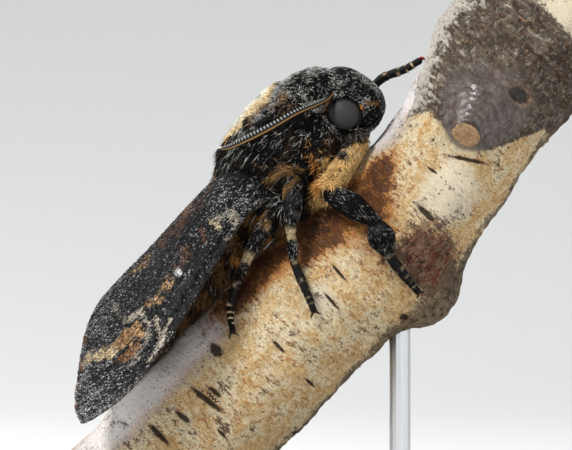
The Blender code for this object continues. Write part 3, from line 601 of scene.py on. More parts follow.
def barkSheet():
    # Positions are in millimetres. Each stain is its smooth share and some noise, put through a steep step.
    sheet = Sheet("birchBark", 0.72, Specular_IOR_Level=0.16, Coat_Roughness=0.30)
    ground = sheet.field("bark")
    rust, node, silverAndHighlight = sheet.parts(sheet.field("stain"))
    red, knobAndUnderShade, cream = sheet.parts(sheet.field("patch"))
    along, off, wrinkle = sheet.parts(sheet.field("twig"))
    across = sheet.scaled(ground, (1.9, 0.6, 0.6))
    wide = sheet.clouds(ground, 0.30, 6.0, 0.62)
    strip = sheet.clouds(across, 1.0, 6.0, 0.68, 0.3)
    fine = sheet.clouds(ground, 3.4, 5.0, 0.7)
    small = sheet.clouds(ground, 1.1, 4.0, 0.7, 0.6)
    pits = sheet.clouds(ground, 1.6, 5.0, 0.7)
    crust = sheet.clouds(across, 0.55, 7.0, 0.72, 0.5)
    fleck = sheet.clouds(sheet.scaled(ground, (1.4, 0.8, 0.8)), 0.75, 5.0, 0.72, 0.9)
    fibre = sheet.clouds(sheet.scaled(ground, (0.5, 2.2, 2.2)), 0.9, 5.0, 0.7, 0.8)
    ragged = wide * 0.9 + strip * 0.9 + fine * 0.5 - 1.15
    raggedKnobAndUnderShade = knobAndUnderShade + ragged * 1.3
    edge = node + ragged * 1.1
    border = edge.between(0.30, 0.46) * edge.until(0.46, 0.60)
    # Cream and tan bark with flecks, its silver parts with a painted highlight along the top, the rust with
    # painted shadow under the moth, the red wood, and the grey knob with painted shade along the underside.
    tone = sheet.layers(
        sheet.blend(wide.between(0.42, 0.58), (0.70, 0.475, 0.215), (0.94, 0.79, 0.51)),
        (strip.between(0.53, 0.62) * 0.8, (0.60, 0.30, 0.09)),
        (fine.between(0.56, 0.63) * 0.65, (0.27, 0.15, 0.065)),
        (fine.until(0.38, 0.45) * 0.6, (0.95, 0.86, 0.66)),
        (small.between(0.54, 0.62) * 0.5, (0.42, 0.25, 0.11)),
        (small.until(0.37, 0.44) * 0.5, (0.93, 0.83, 0.62)),
        (strip.until(0.34, 0.44) * 0.5, (0.27, 0.19, 0.11)),
        (fleck.between(0.565, 0.625) * 0.8, (0.44, 0.18, 0.045)),
        ((cream + ragged).between(0.35, 0.75) * 0.9, (0.92, 0.81, 0.61)),
        # The silver layers: silvery bark and a painted highlight along the top.
        ((silverAndHighlight + ragged * 0.5).between(0.15, 0.55) * 0.7, (0.66, 0.52, 0.44)),
        ((silverAndHighlight + ragged * 0.35).between(0.35, 0.80) * 0.92, (0.93, 0.87, 0.84)),
        (silverAndHighlight.between(0.3, 0.7) * fine.between(0.54, 0.62) * 0.5, (0.36, 0.30, 0.28)),
        # Rust with near-black cores; under the moth these layers are also painted shadow.
        ((rust + ragged).between(0.30, 0.62) * 0.85, (0.50, 0.185, 0.035)),
        ((rust + ragged * 1.7).between(0.58, 0.80) * 0.9, (0.095, 0.032, 0.011)),
        ((rust + ragged * 2.0).between(0.95, 1.25) * 0.85, (0.032, 0.015, 0.009)),
        (rust.between(0.3, 0.6) * strip.between(0.53, 0.60) * 0.6, (0.40, 0.155, 0.04)),
        ((red + ragged * 1.9).between(0.16, 0.46) * 0.92, (0.115, 0.060, 0.040)),
        (red.between(0.15, 0.5) * fibre.between(0.54, 0.62) * 0.8, (0.38, 0.20, 0.10)),
        (red.between(0.35, 0.75) * fibre.until(0.44, 0.52) * 0.85, (0.15, 0.028, 0.010)),
        (red.between(0.2, 0.6) * small.between(0.52, 0.60) * 0.8, (0.030, 0.016, 0.010)),
        (red.between(0.2, 0.5) * fine.between(0.55, 0.66) * 0.7, (0.40, 0.30, 0.24)),
        # Painted shade along the underside, together with the knob's own dark rough bark.
        (raggedKnobAndUnderShade.between(0.36, 0.66) * 0.85, (0.17, 0.125, 0.082)),
        (raggedKnobAndUnderShade.between(0.50, 0.80) * small.between(0.50, 0.56) * 0.8, (0.05, 0.035, 0.024)),
    )
    # The rough node round the twig's root.
    rough = sheet.layers(
        sheet.blend(crust.between(0.38, 0.64), (0.050, 0.037, 0.030), (0.22, 0.18, 0.14)),
        (wide.between(0.46, 0.60) * 0.75, (0.085, 0.052, 0.042)),
        (small.between(0.56, 0.63) * 0.7, (0.27, 0.15, 0.075)),
        (small.until(0.36, 0.43) * 0.6, (0.42, 0.38, 0.31)),
        # Pale patches over the node's top: partly pale rough bark, partly a painted highlight along the top.
        ((silverAndHighlight + crust * 2.6 - 1.3).between(0.25, 0.62) * 0.9, (0.86, 0.80, 0.69)),
        (pits.until(0.36, 0.47) * 0.85, (0.022, 0.016, 0.012)),
        (pits.between(0.57, 0.64) * 0.8, (0.52, 0.44, 0.33)),
    )
    # The twig, the specks, the cracks and the marks, and the wood of the twig's cut.
    cone = (along + ragged * 0.25).between(0.02, 0.34)
    twig = sheet.blend(fine.between(0.38, 0.62), (0.035, 0.022, 0.018), (0.13, 0.093, 0.078))
    twig = sheet.blend(wrinkle * small.between(0.35, 0.65) * 0.8, twig, (0.27, 0.225, 0.20))
    speck = sheet.cells(sheet.scaled(ground, (1.5, 0.8, 0.8)), 1.15)
    specks = speck.until(0.10, 0.20) * sheet.clouds(ground, 0.25, 2.0).between(0.42, 0.54) * (1.0 - node)
    cracks = strip.between(0.492, 0.50) * strip.until(0.50, 0.508) * wide.between(0.47, 0.60)
    away = sheet.length(sheet.field("mark")) + (fine + strip + pits) * 0.9 - 1.35
    dark = away.until(0.80, 1.10)
    disc = along.between(0.955, 0.985) * off.until(2.15, 2.3)
    grain = sheet.blend(fine.between(0.35, 0.65), (0.40, 0.22, 0.10), (0.68, 0.46, 0.27))
    tone = sheet.layers(
        tone,
        (edge.between(0.42, 0.56) * 0.97, rough),
        (border * pits.between(0.42, 0.55) * 0.8, (0.06, 0.042, 0.030)),
        ((sheet.clouds(across, 0.50, 4.0, 0.6) * node).between(0.655, 0.69) * 0.8, (0.50, 0.27, 0.13)),
        (cone * 0.85, twig),
        (specks * 0.92, (0.025, 0.016, 0.012)),
        (cracks * 0.75, (0.12, 0.070, 0.042)),
        (away.until(1.0, 1.6) * 0.4, (0.36, 0.18, 0.085)),
        (dark * 0.92, (0.024, 0.017, 0.013)),
        (along.between(0.90, 0.96) * off.between(1.7, 2.1) * off.until(2.6, 3.0), (0.05, 0.022, 0.014)),
        (disc, grain),
    )
    # Both ends are sawn: growth rings round the axis, as a sine of the distance and noise.
    place = sheet.parts(ground)[0]
    low, high = branch["low"], branch["high"]
    ends = place.between(high - 0.45, high - 0.2) + place.until(low + 0.2, low + 0.45)
    ring = sheet.length(sheet.scaled(ground, (0.0, 1.0, 1.0)))
    wander = sheet.clouds(sheet.scaled(ground, (0.0, 0.12, 0.12)), 1.0, 2.0)
    wave = ring.maths("SINE", ring * 6.0 + wander * 14.0)
    cutWood = sheet.blend(wave.between(-0.2, 0.9) * 0.6, (0.70, 0.50, 0.30), (0.48, 0.30, 0.15))
    sheet.give("Base Color", sheet.blend(ends * ring.until(10.6, 11.0), tone, cutWood))
    coated = cone * (1.0 - disc)
    sheet.give("Coat Weight", coated * 0.6)
    sheet.give("Roughness", 0.86 - coated * 0.30 - silverAndHighlight.between(0.5, 0.9) * 0.25 + fine * 0.12)
    deep = node * (crust * 2.4 + pits * 1.5) * (1.0 - cone * 0.8)
    height = fine * 0.7 + small * 0.9 + strip * 0.9 + deep + wrinkle * cone * 0.4
    sheet.relief(height - specks * 0.5 - cracks * 0.6 - dark * 0.9, 0.0009)
    return sheet.material


def branchSkin():
    # The trunk and the cut twig as one remeshed skin.
    rows, count = branch["trunkGrid"]
    x, angle = np.meshgrid(np.linspace(branch["low"], branch["high"], rows), turnsOf(count), indexing="ij")
    centre, radius = branchShape(x, angle)
    trunk = tube(np.stack((x, -radius * np.sin(angle), centre + radius * np.cos(angle)), axis=-1))
    root, tip = np.array(branch["stubRoot"]), np.array(branch["stubTip"])
    rows, count = branch["twigGrid"]
    share = np.linspace(0.0, 1.0, rows)
    middle = root + (tip - root) * share[:, None]
    _, side, up = carriedFrame(middle)
    twig = tube(ringsAround(middle, twigRadius(share), ovalOutline(count), side, up))
    return remeshed("perchBark", (trunk, twig), branch["voxel"], 2)


def makeBranch():
    # The skin pushed in and out by noise, wrinkles and marks; the sawn ends and the twig's cut stay flat.
    points, faces = branchSkin()
    x, angle, _ = branchPlace(points)
    turn = np.degrees(angle)
    ground = points - np.stack((0 * x, 0 * x, branchShape(x, 0.0)[0]), axis=1)
    spot, away = nearestMark(x, turn)
    stain, patch = barkStains(points)
    along, aside, turned = stubPlace(points)
    share = np.clip(along, 0.0, 1.0)
    onTwig = share * smoothStep(2.6 - (aside - twigRadius(share)), 0.0, 2.4)
    twig = smoothStep(onTwig, 0.1, 0.4)
    wrinkle = 0.5 + 0.5 * np.sin(along * 52.0 + 6.0 * noise(points, 3.2, 7, 3))
    cut = smoothStep(along, 0.95, 0.99) * (aside < 2.6)
    ends = smoothStep(x, branch["high"] - 0.6, branch["high"] - 0.1)
    ends = np.clip(ends + smoothStep(branch["low"] + 0.6 - x, 0.0, 0.5), 0.0, 1.0)
    height = 0.16 * noise(points, 2.6, 5, 3) + 0.13 * noise(ground * (1.9, 0.8, 0.8), 1.6, 6, 2)
    height = height + 0.30 * smoothStep(np.abs(angle), 2.35, 2.8) * noise(points, 1.3, 10, 3)
    height = height + stain[:, 1] * (0.34 * noise(points, 2.2, 8, 3) + 0.26 * noise(points, 0.9, 9, 2))
    height = height * (1 - 0.7 * twig) - 0.20 * twig * wrinkle
    height = height - 0.30 * smoothStep(1.3 - away, 0.0, 0.5)
    height = height - 0.7 * hill((x - 60.6) / 1.1) * hill((turn - 108.0) / 5.0)
    height = height * (1 - cut) * (1 - ends) - 0.12 - 0.12 * cut * (np.cos(turned * 9) > 0.9)
    points = points + pointNormals(points, faces) * height[:, None]
    fields = {"bark": ground, "stain": stain, "patch": patch, "mark": spot,
              "twig": np.stack((onTwig, aside, wrinkle), axis=1)}
    makePiece("perchBark", points, (faces,), barkSheet(), ("perch_branch",), fields=fields)


makeBranch()
print("branch")


# The body: rows of the trunk and the collar as x, z, half height, half width; then the head, eye and mouth.
body = {
    "trunk": ((-8.5, 13.9, 0.5, 0.7), (-6.5, 14.1, 1.9, 2.4), (-2.0, 15.1, 3.1, 4.0), (4.0, 16.2, 4.2, 5.1),
              (11.0, 17.1, 5.1, 5.9), (17.0, 17.6, 5.6, 6.3), (21.5, 18.3, 6.3, 6.9), (26.0, 18.6, 8.5, 7.8),
              (31.0, 18.7, 9.4, 8.3), (35.5, 19.0, 9.0, 8.0), (38.1, 19.0, 8.3, 7.3)),
    "collar": ((36.0, 21.8, 5.0, 7.0), (38.5, 22.3, 4.5, 6.9), (40.2, 22.1, 4.2, 6.3), (42.0, 21.8, 3.6, 5.2),
               (43.4, 21.4, 2.6, 3.8)),
    "trunkSquareness": 2.35, "thoraxDepth": 0.85, "abdomenDepth": 0.45, "collarDepth": 0.8,
    "headSpot": (43.05, 17.5), "headPitch": math.radians(-80.0), "headSizes": (5.7, 5.1, 4.7),
    "headSquareness": 2.5, "headDepth": 0.42,
    "eye": (41.1, 3.4, 16.5), "eyeRadius": 2.9,
    "palp": ((4.05, -2.9), (4.55, -0.15), (3.7, 2.35)), "palpSpread": 1.85, "palpRadii": (0.4, 0.9, 0.6),
    "tongue": ((4.7, -1.6), (5.2, -2.8), (4.8, -4.0), (3.85, -4.1)),
    "voxel": 0.3, "limbDepth": 0.3, "outline": 48, "barkGap": 0.25,
}
foreCoxa = ((39.3, 20.0, 2.2), (33.9, 37.0, 2.4))
# Each leg: hip point on the right side; knee, ankle and foot as x, degrees round the branch, lift;
# radii of femur, tibia and foot; side, -1 for the right.
legs = {
    "foreleg_right": ((31.4, -10.2, 10.2), (32.7, 79.0, 2.5), (30.6, 100.0, 1.9),
                      ((30.2, 111.0, 1.3), (29.9, 122.0, 1.05), (29.7, 132.0, 0.9)),
                      (1.5, 2.0, 1.2), (1.2, 2.15, 1.0), (0.95, 0.85, 0.7, 0.55), -1),
    "foreleg_left": ((36.5, -10.3, 12.2), (40.7, -37.5, 6.9), (46.9, -19.0, 6.4),
                     ((49.6, -18.4, 5.2), (52.5, -18.5, 2.75), (55.0, -19.0, 1.35)),
                     (1.2, 1.6, 0.9), (0.9, 1.3, 0.8), (0.72, 0.74, 0.7, 0.55), 1),
    "midleg_right": ((28.7, -9.3, 15.1), (23.1, 47.0, 3.9), (20.2, 59.0, 1.9),
                     ((19.2, 69.0, 1.15), (18.2, 80.0, 1.0), (17.2, 90.0, 0.85)),
                     (1.6, 1.6, 0.9), (0.8, 1.0, 0.75), (0.74, 0.74, 0.66, 0.52), -1),
    "midleg_left": ((29.2, -9.3, 15.1), (24.3, -47.0, 4.1), (22.2, -60.0, 1.9),
                    ((21.6, -70.0, 1.15), (20.9, -81.0, 1.0), (20.0, -92.0, 0.85)),
                    (1.6, 1.6, 0.9), (0.8, 1.0, 0.75), (0.74, 0.74, 0.66, 0.52), 1),
    "hindleg_right": ((23.6, -8.7, 14.2), (16.3, 39.0, 4.3), (12.1, 40.5, 2.6),
                      ((9.6, 42.5, 1.3), (8.0, 49.0, 1.0), (6.8, 58.0, 0.85)),
                      (1.3, 1.5, 0.9), (0.8, 0.95, 0.7), (0.66, 0.68, 0.6, 0.5), -1),
    "hindleg_left": ((23.4, -8.7, 14.2), (15.6, -39.0, 4.3), (10.8, -41.0, 2.6),
                     ((8.2, -44.0, 1.3), (6.4, -51.0, 1.0), (5.0, -60.0, 0.85)),
                     (1.3, 1.5, 0.9), (0.8, 0.95, 0.7), (0.66, 0.68, 0.6, 0.5), 1),
}


def legRoutes():
    # Skin routes of every coxa, femur and tibia, each as its name, its points and its radii.
    routes = []
    for name, (hip, knee, ankle, _, femur, tibia, _, side) in legs.items():
        hip = np.array((hip[0], -hip[1] * side, hip[2]))
        knee, ankle = onBranch(*knee), onBranch(*ankle)
        inner = hip + 2.2 * unit(np.array((30.0, 0.0, 16.0)) - hip)
        if name.startswith("foreleg"):
            coxa = [onBranch(x, -angle * side, lift) for x, angle, lift in foreCoxa]
            inner = coxa[1]
            routes.append((name + "_coxa", (coxa[0] + (0.5, 0.0, 0.9), *coxa), (0.75, 1.25, 1.35)))
        femur = [size - body["limbDepth"] for size in femur]
        tibia = [size - body["limbDepth"] for size in tibia]
        routes.append((name + "_femur", (inner, hip, (hip + knee) / 2, knee), (femur[0], *femur)))
        routes.append((name + "_tibia", (knee, (knee + ankle) / 2, ankle), tibia))
    return routes


def headAxes(points):
    # Points in the head's own axes: along its length, to the left, and over its back.
    pitch = body["headPitch"]
    x, z = points[..., 0] - body["headSpot"][0], points[..., 2] - body["headSpot"][1]
    return np.stack((x * math.cos(pitch) + z * math.sin(pitch), points[..., 1],
                     z * math.cos(pitch) - x * math.sin(pitch)), axis=-1)


def headPoint(along, y, over):
    # The head's own axes turned back to the perch frame.
    pitch = body["headPitch"]
    return np.stack((body["headSpot"][0] + along * math.cos(pitch) - over * math.sin(pitch), y + 0 * along,
                     body["headSpot"][1] + along * math.sin(pitch) + over * math.cos(pitch)), axis=-1)


def trunkShell(table, depths):
    # Rings square to the table's own spine, smaller than the coat's outline by a depth.
    places = np.linspace(0.0, len(table) - 1.0, 8 * len(table))
    station = curveAt(table, places)
    ahead = unit(curveAt(table, places + 0.02)[:, :2] - curveAt(table, places - 0.02)[:, :2])
    across, over = ovalOutline(body["outline"], body["trunkSquareness"])
    depth = np.interp(station[:, 0], *depths)
    high = np.maximum(station[:, 2] - depth, 0.25)[:, None]
    wide = np.maximum(station[:, 3] - depth, 0.25)[:, None]
    return tube(np.stack((station[:, :1] - ahead[:, 1:] * high * over, wide * across,
                          station[:, 1:2] + ahead[:, :1] * high * over), axis=-1))


def headShell():
    # An oval with squared shoulders: cosine and sine of the turn raised to a power.
    across, over = ovalOutline(body["outline"], body["headSquareness"])
    turn = np.radians(np.linspace(-86.0, 86.0, 40))[:, None]
    size = [value - body["headDepth"] for value in body["headSizes"]]
    along = size[0] * np.abs(np.sin(turn)) ** (2.0 / body["headSquareness"]) * np.sign(turn)
    ring = np.cos(turn) ** (2.0 / body["headSquareness"])
    return tube(headPoint(along + 0 * across, size[1] * ring * across, size[2] * ring * over))


routes = legRoutes()


def makeSkinShape():
    # Everything of flesh as one closed skin, kept clear of the bark and hollowed a little round each eye.
    thorax, abdomen = body["thoraxDepth"], body["abdomenDepth"]
    shells = [trunkShell(body["trunk"], ((-9.0, 18.0, 24.0), (0.2, abdomen, thorax))),
              trunkShell(body["collar"], ((30.0, 50.0), (body["collarDepth"],) * 2)), headShell()]
    for _, side in sides:
        spread = side * body["palpSpread"]
        route = [headPoint(np.float64(along), spread, over) for along, over in body["palp"]]
        shells.append(limbTube(route, body["palpRadii"], 16, 12))
    shells += [limbTube(points, radii, 16, 24) for _, points, radii in routes]
    points, faces = remeshed("mothSkin", shells, body["voxel"], 3)
    keepOff(points, body["barkGap"])
    for _, side in sides:
        spot = np.array(body["eye"]) * (1, side, 1)
        reach = np.linalg.norm(points - spot, axis=1)
        lip = 0.32 * hill((reach - 3.25) / 0.35) - 0.4 * smoothStep(3.0 - reach, 0.0, 0.4)
        points = points + pointNormals(points, faces) * lip[:, None]
    return points, faces


skinPoints, skinFaces = makeSkinShape()
skinNormals = pointNormals(skinPoints, skinFaces)
print("skin shape", len(skinFaces))

# Markings, the same for skin and coat.
tints = {
    "black": (0.003, 0.003, 0.0035), "char": (0.0065, 0.006, 0.006), "grey": (0.20, 0.20, 0.20),
    "pale": (0.60, 0.60, 0.58), "white": (0.80, 0.78, 0.72), "cream": (0.66, 0.51, 0.30),
    "buff": (0.50, 0.30, 0.13), "orange": (0.50, 0.215, 0.055), "gold": (0.28, 0.155, 0.055),
    "yellow": (0.74, 0.46, 0.18), "rust": (0.115, 0.048, 0.022), "brown": (0.045, 0.026, 0.014),
    "ochre": (0.24, 0.135, 0.035), "bone": (0.47, 0.41, 0.32), "tawny": (0.27, 0.125, 0.048),
    "red": (0.26, 0.025, 0.010), "claw": (0.045, 0.022, 0.012),
}
# Body markings seen from the side: tint, two ends of a stroke as x, z, its half width, its strength.
bodyMarks = (
    ("gold", 30.1, 18.2, 27.2, 18.0, 0.4, 0.6), ("gold", 28.2, 17.7, 30.0, 16.0, 0.35, 0.6),
    ("brown", 34.0, 19.6, 31.0, 18.4, 0.6, 0.8), ("orange", 34.2, 16.3, 32.5, 13.3, 0.42, 1.0),
    ("yellow", 34.8, 13.9, 33.8, 12.7, 0.85, 1.0), ("orange", 32.9, 12.3, 30.3, 11.6, 0.9, 1.0),
    ("yellow", 29.8, 11.5, 28.9, 8.4, 1.0, 1.0), ("yellow", 35.2, 11.2, 33.6, 8.6, 1.2, 1.0),
    ("yellow", 32.8, 11.0, 31.0, 9.5, 0.8, 0.9), ("yellow", 40.2, 12.1, 37.7, 10.6, 0.75, 1.0),
    ("yellow", 37.7, 10.6, 34.0, 9.2, 1.1, 1.0), ("black", 38.6, 14.0, 36.9, 12.0, 1.1, 1.0),
    ("orange", 22.0, 15.0, 21.0, 12.8, 0.6, 0.9), ("gold", 22.2, 16.6, 20.2, 15.7, 0.6, 0.8),
    ("black", 17.8, 14.9, 18.9, 12.9, 0.5, 0.9), ("orange", 15.2, 13.8, 16.9, 11.4, 0.5, 0.9),
    ("gold", 19.6, 13.0, 20.8, 12.2, 0.8, 0.8), ("gold", 25.4, 12.6, 22.0, 11.6, 0.9, 0.7),
    ("orange", 43.8, 15.5, 43.3, 14.8, 0.2, 1.0), ("gold", 41.0, 19.6, 38.8, 19.3, 0.3, 0.8),
    ("brown", 37.2, 15.8, 35.6, 15.0, 0.7, 0.8), ("gold", 44.8, 15.2, 45.6, 14.2, 0.25, 0.6),
)
throatMark = (("char", 41.4, 13.5, 37.3, 13.3, 1.35, 0.97),)
# The skull mark: its half width along x, seen from above, and its dark spots as x, y and radius.
skull = {
    "x": (25.0, 25.6, 27.5, 30.0, 33.0, 36.0, 37.4, 38.2), "half": (0.0, 2.0, 3.5, 4.5, 4.9, 4.4, 3.0, 0.0),
    "low": 22.0, "spots": ((31.2, 4.6, 1.0), (26.6, 2.9, 0.9), (34.9, 1.6, 0.35), (28.9, 1.3, 0.5)),
}


def strokes(x, z, marks, wobble):
    # Each stroke's share at the points, and its tint: 1 inside its half width, fading past it.
    for tint, x0, z0, x1, z1, reach, strength in marks:
        dx, dz = x1 - x0, z1 - z0
        t = np.clip(((x - x0) * dx + (z - z0) * dz) / (dx * dx + dz * dz + 1e-9), 0.0, 1.0)
        away = np.hypot(x - x0 - t * dx, z - z0 - t * dz) + wobble * reach
        yield strength * smoothStep(reach * 1.25 - away, 0.0, reach * 0.45), tint


def plain(tint, count):
    # One tint at every point.
    return np.tile(np.array(tints[tint]), (count, 1))


def painted(colour, *rows):
    # Tints laid one over another, each by its share at the points.
    for share, tint in rows:
        share = np.clip(share, 0.0, 1.0)[:, None]
        colour = colour * (1.0 - share) + np.array(tints[tint]) * share
    return colour


def skullShare(points):
    # The thorax's pale mark, seen from above: a long oval that narrows to the rear.
    x, y, z = points.T
    inside = np.interp(x, skull["x"], skull["half"]) - np.abs(y) + 0.35 * noise(points, 1.2, 31, 2)
    return inside * (z > skull["low"]) - 9.0 * (z <= skull["low"])


def bodyColours(points, limb, along):
    # The colour of the coat at points of the skin: its ground, bands, painted shade under the abdomen,
    # strokes and pale mark, then the legs.
    x, y, z = points.T
    beside = np.abs(y)
    clouds = noise(points, 1.6, 21, 2)
    belly = smoothStep(12.5 + 0.8 * clouds - z, 0.0, 2.0) * smoothStep(x, 21.0, 24.0)
    rear = smoothStep(23.0 - x + 0.8 * clouds, 0.0, 1.5)
    band = np.cos((x - 1.0) * 2 * math.pi / 4.4)
    ridge = smoothStep(1.6 - beside + 0.3 * clouds, 0.0, 0.6) * smoothStep(z, 15.0, 17.0)
    mark = skullShare(points)
    spots = [size - np.hypot(x - atX, beside - atY) + 0.25 * clouds for atX, atY, size in skull["spots"]]
    marks = strokes(x, z, bodyMarks, 0.5 * clouds)
    colour = painted(
        plain("char", len(x)),
        (belly * 0.8, "brown"),
        (rear, "gold"),
        (rear * smoothStep(band + 0.9 * clouds, -0.2, 0.5), "black"),
        # Painted shade: the lower half of the abdomen is darkened to brown.
        (rear * smoothStep(18.5 - z + 0.8 * clouds, 0.0, 3.0) * 0.6, "brown"),
        (rear * ridge, "grey"),
        *((share * smoothStep(beside, 1.0, 3.0), tint) for share, tint in marks),
        (smoothStep(mark, -0.1, 0.1), "gold"),
        (smoothStep(mark, 0.15, 0.5), "cream"),
        (smoothStep(mark + 0.8 * clouds, 1.3, 2.4) * 0.55, "white"),
        *((smoothStep(spot, -0.1, 0.25) * (mark > -1.0), "black") for spot in spots),
    )
    share = (limb >= 0)[:, None].astype(float)
    colour = colour * (1 - share) + limbColours(points, limb, along, clouds) * share
    throat = strokes(x, z, throatMark, 1.2 * clouds)
    return painted(colour, *((share * (beside > 2.0), tint) for share, tint in throat))


def limbColours(points, limb, along, clouds):
    # Legs: black with a grey front, buff hair behind on the middle and hind legs, cream knee rings.
    names = [name for name, _, _ in routes]
    part = np.array([0 if "coxa" in name else 1 if "femur" in name else 2 for name in names] + [9])[limb]
    pair = np.array([0 if "fore" in name else 1 if "mid" in name else 2 for name in names] + [9])[limb]
    coxa, femur, tibia, rear = part == 0, part == 1, part == 2, pair > 0
    behind = smoothStep(noise(points, 2.2, 24, 1), 0.0, 0.4)
    return painted(
        plain("char", len(points)),
        (coxa * smoothStep(clouds, -0.9, -0.3), "yellow"),
        (coxa * smoothStep(clouds, 0.2, 0.6) * 0.8, "cream"),
        ((pair == 1) * femur * smoothStep(clouds + 0.2, 0.0, 0.8) * 0.25, "grey"),
        (rear * femur * (along < 0.75) * behind * 0.8, "gold"),
        ((pair == 0) * femur * smoothStep(0.36 - along, 0.0, 0.05), "yellow"),
        (rear * hill((along - tibia * 0.12 - femur * 0.97) / 0.05) * (part > 0), "cream"),
        (rear * tibia * hill((along - 0.94) / 0.07), "cream"),
        ((pair == 0) * tibia * smoothStep(clouds, 0.35, 0.7) * 0.2, "grey"),
    )


def nearestLimb(points):
    # For each point the route whose surface is nearest, or -1 on the trunk and head; how far along it,
    # and its heading.
    steps = 26
    best = np.full(len(points), 0.75)
    limb = np.full(len(points), -1)
    along = np.zeros(len(points))
    heading = np.zeros((len(points), 3))
    for number, (name, stations, radii) in enumerate(routes):
        middle = curveThrough(stations, steps)
        gap = np.linalg.norm(points[:, None] - middle[None], axis=2) - curveThrough(radii, steps)[:, 0]
        pick = gap.argmin(axis=1)
        amount = gap.min(axis=1)
        share = pick / (steps - 1)
        take = (amount < best) & (share >= (0.30 if "femur" in name else 0.0))
        best[take] = amount[take]
        limb[take] = number
        along[take] = share[take]
        heading[take] = unit(np.gradient(middle, axis=0))[pick[take]]
    return limb, along, heading


def makeSkin():
    # The skin that shows between the tufts, in their colours, darker.
    sheet, own, fine = ownSheet("skin", 0.85, 5200.0, 4.0, Specular_IOR_Level=0.1)
    dark, light = sheet.dimmed(own, (0.25, 0.22, 0.20)), sheet.dimmed(own, (0.7, 0.68, 0.66))
    sheet.give("Base Color", sheet.blend(fine, dark, light))
    sheet.relief(fine, 0.0002)
    nodes = ["thorax", "collar", "head", "palp_left", "palp_right"]
    nodes += ["abdomen_base", "abdomen_middle", "abdomen_tip", "foreleg_left_coxa", "foreleg_right_coxa"]
    nodes += [f"{name}_{part}" for name in legs for part in ("femur", "tibia")]
    limb, along, _ = nearestLimb(skinPoints)
    makePiece("mothSkin", skinPoints, (skinFaces,), sheet.material, nodes,
              bodyColours(skinPoints, limb, along))


makeSkin()
print("skin")

# Points of a tuft: root, the ring's left, right and upper point, tip. A vane's third ring point lies below.
tuft = {"share": 0.42, "rise": 0.42,
        "faces": ((0, 1, 3), (0, 3, 2), (0, 2, 1), (4, 3, 1), (4, 2, 3), (4, 1, 2))}
vane = {"share": 0.62, "rise": -0.12,
        "faces": ((0, 1, 2), (1, 4, 2), (0, 3, 1), (0, 2, 3), (4, 1, 3), (4, 3, 2))}
# Each tuft's patch of the OFBake map, and how large it is.
uvPatch = {"shape": ((-0.5, 0.0), (-0.08, -0.5), (-0.08, 0.5), (0.05, 0.04), (0.5, 0.0)),
           "size": 0.003, "margin": 0.004}


def growTufts(roots, normals, lie, length, width, lift, bend, rng, form):
    # Closed tufts of six faces: a buried root, a ring of three at a share of the length, and a tip.
    # They rise from the skin at the angle lift, and past the ring they turn back by bend.
    # A vane is the same but flatter and widest past its middle, as a scale is.
    count = len(roots)
    lie = unit(lie - normals * np.einsum("ij,ij->i", lie, normals)[:, None])
    side = np.cross(normals, lie)
    lift, bend = np.radians(lift)[:, None], math.radians(bend)
    length, width = length[:, None], width[:, None]
    knee = roots + length * form["share"] * (np.cos(lift) * lie + np.sin(lift) * normals)
    tip = knee + length * (1 - form["share"]) * (np.cos(lift - bend) * lie + np.sin(lift - bend) * normals)
    tip = tip + side * length * 0.12 * rng.normal(size=(count, 1))
    root = roots - normals * 0.06 - lie * 0.04
    points = np.stack((root, knee - side * width / 2, knee + side * width / 2,
                       knee + normals * width * form["rise"], tip), axis=1)
    ids = np.array(form["faces"])[:, ::-1] + 5 * np.arange(count)[:, None, None]
    return points.reshape(-1, 3), ids.reshape(-1, 3)


def patchUv(spots):
    # Every tuft's own patch at its root's spot on the unwrap.
    centre = uvPatch["margin"] + (1.0 - 2 * uvPatch["margin"]) * np.clip(spots, 0.0, 1.0)
    return (centre[:, None] + uvPatch["size"] * np.array(uvPatch["shape"])).reshape(-1, 2)


def scatter(points, faces, normals, count, density, rng):
    # Random places on triangles, picked by their area times their density.
    corners = points[faces]
    area = np.linalg.norm(np.cross(corners[:, 1] - corners[:, 0], corners[:, 2] - corners[:, 0]), axis=1)
    weight = area * density
    chosen = rng.choice(len(faces), count, p=weight / weight.sum())
    share = np.sort(rng.random((count, 2)), axis=1)
    share = np.stack((share[:, 0], share[:, 1] - share[:, 0], 1 - share[:, 1]), axis=1)[..., None]
    return (corners[chosen] * share).sum(axis=1), unit((normals[faces[chosen]] * share).sum(axis=1))


def tuftColours(base, tip, speckle, rng):
    # Five points for each tuft: dark at the root, the coat's colour at the ring and the tip; a speckled
    # tuft is pale from its ring on.
    jitter = 0.6 + 0.7 * rng.random((len(base), 1))
    root = base * 0.3
    ring = np.where(speckle[:, None], 0.45 * tip + 0.55 * base, base * jitter)
    last = np.where(speckle[:, None], tip, base * jitter * 1.3)
    return np.stack((root, ring, ring, ring * 1.15, last), axis=1).reshape(-1, 3)


def eyeGap(points):
    # Distance outside the nearer eye's rim.
    folded = np.stack((points[:, 0], np.abs(points[:, 1]), points[:, 2]), axis=1)
    return np.linalg.norm(folded - np.array(body["eye"]), axis=1) - body["eyeRadius"]


def inHead(points):
    # Within the head's squared oval, a little inside its surface.
    local = headAxes(points)
    return (np.abs(local / (np.array(body["headSizes"]) - 0.1)) ** body["headSquareness"]).sum(axis=1) < 1.06


furSheet = coatSheet("fur", 0.6, 2600.0, 0.0, Specular_IOR_Level=0.07)
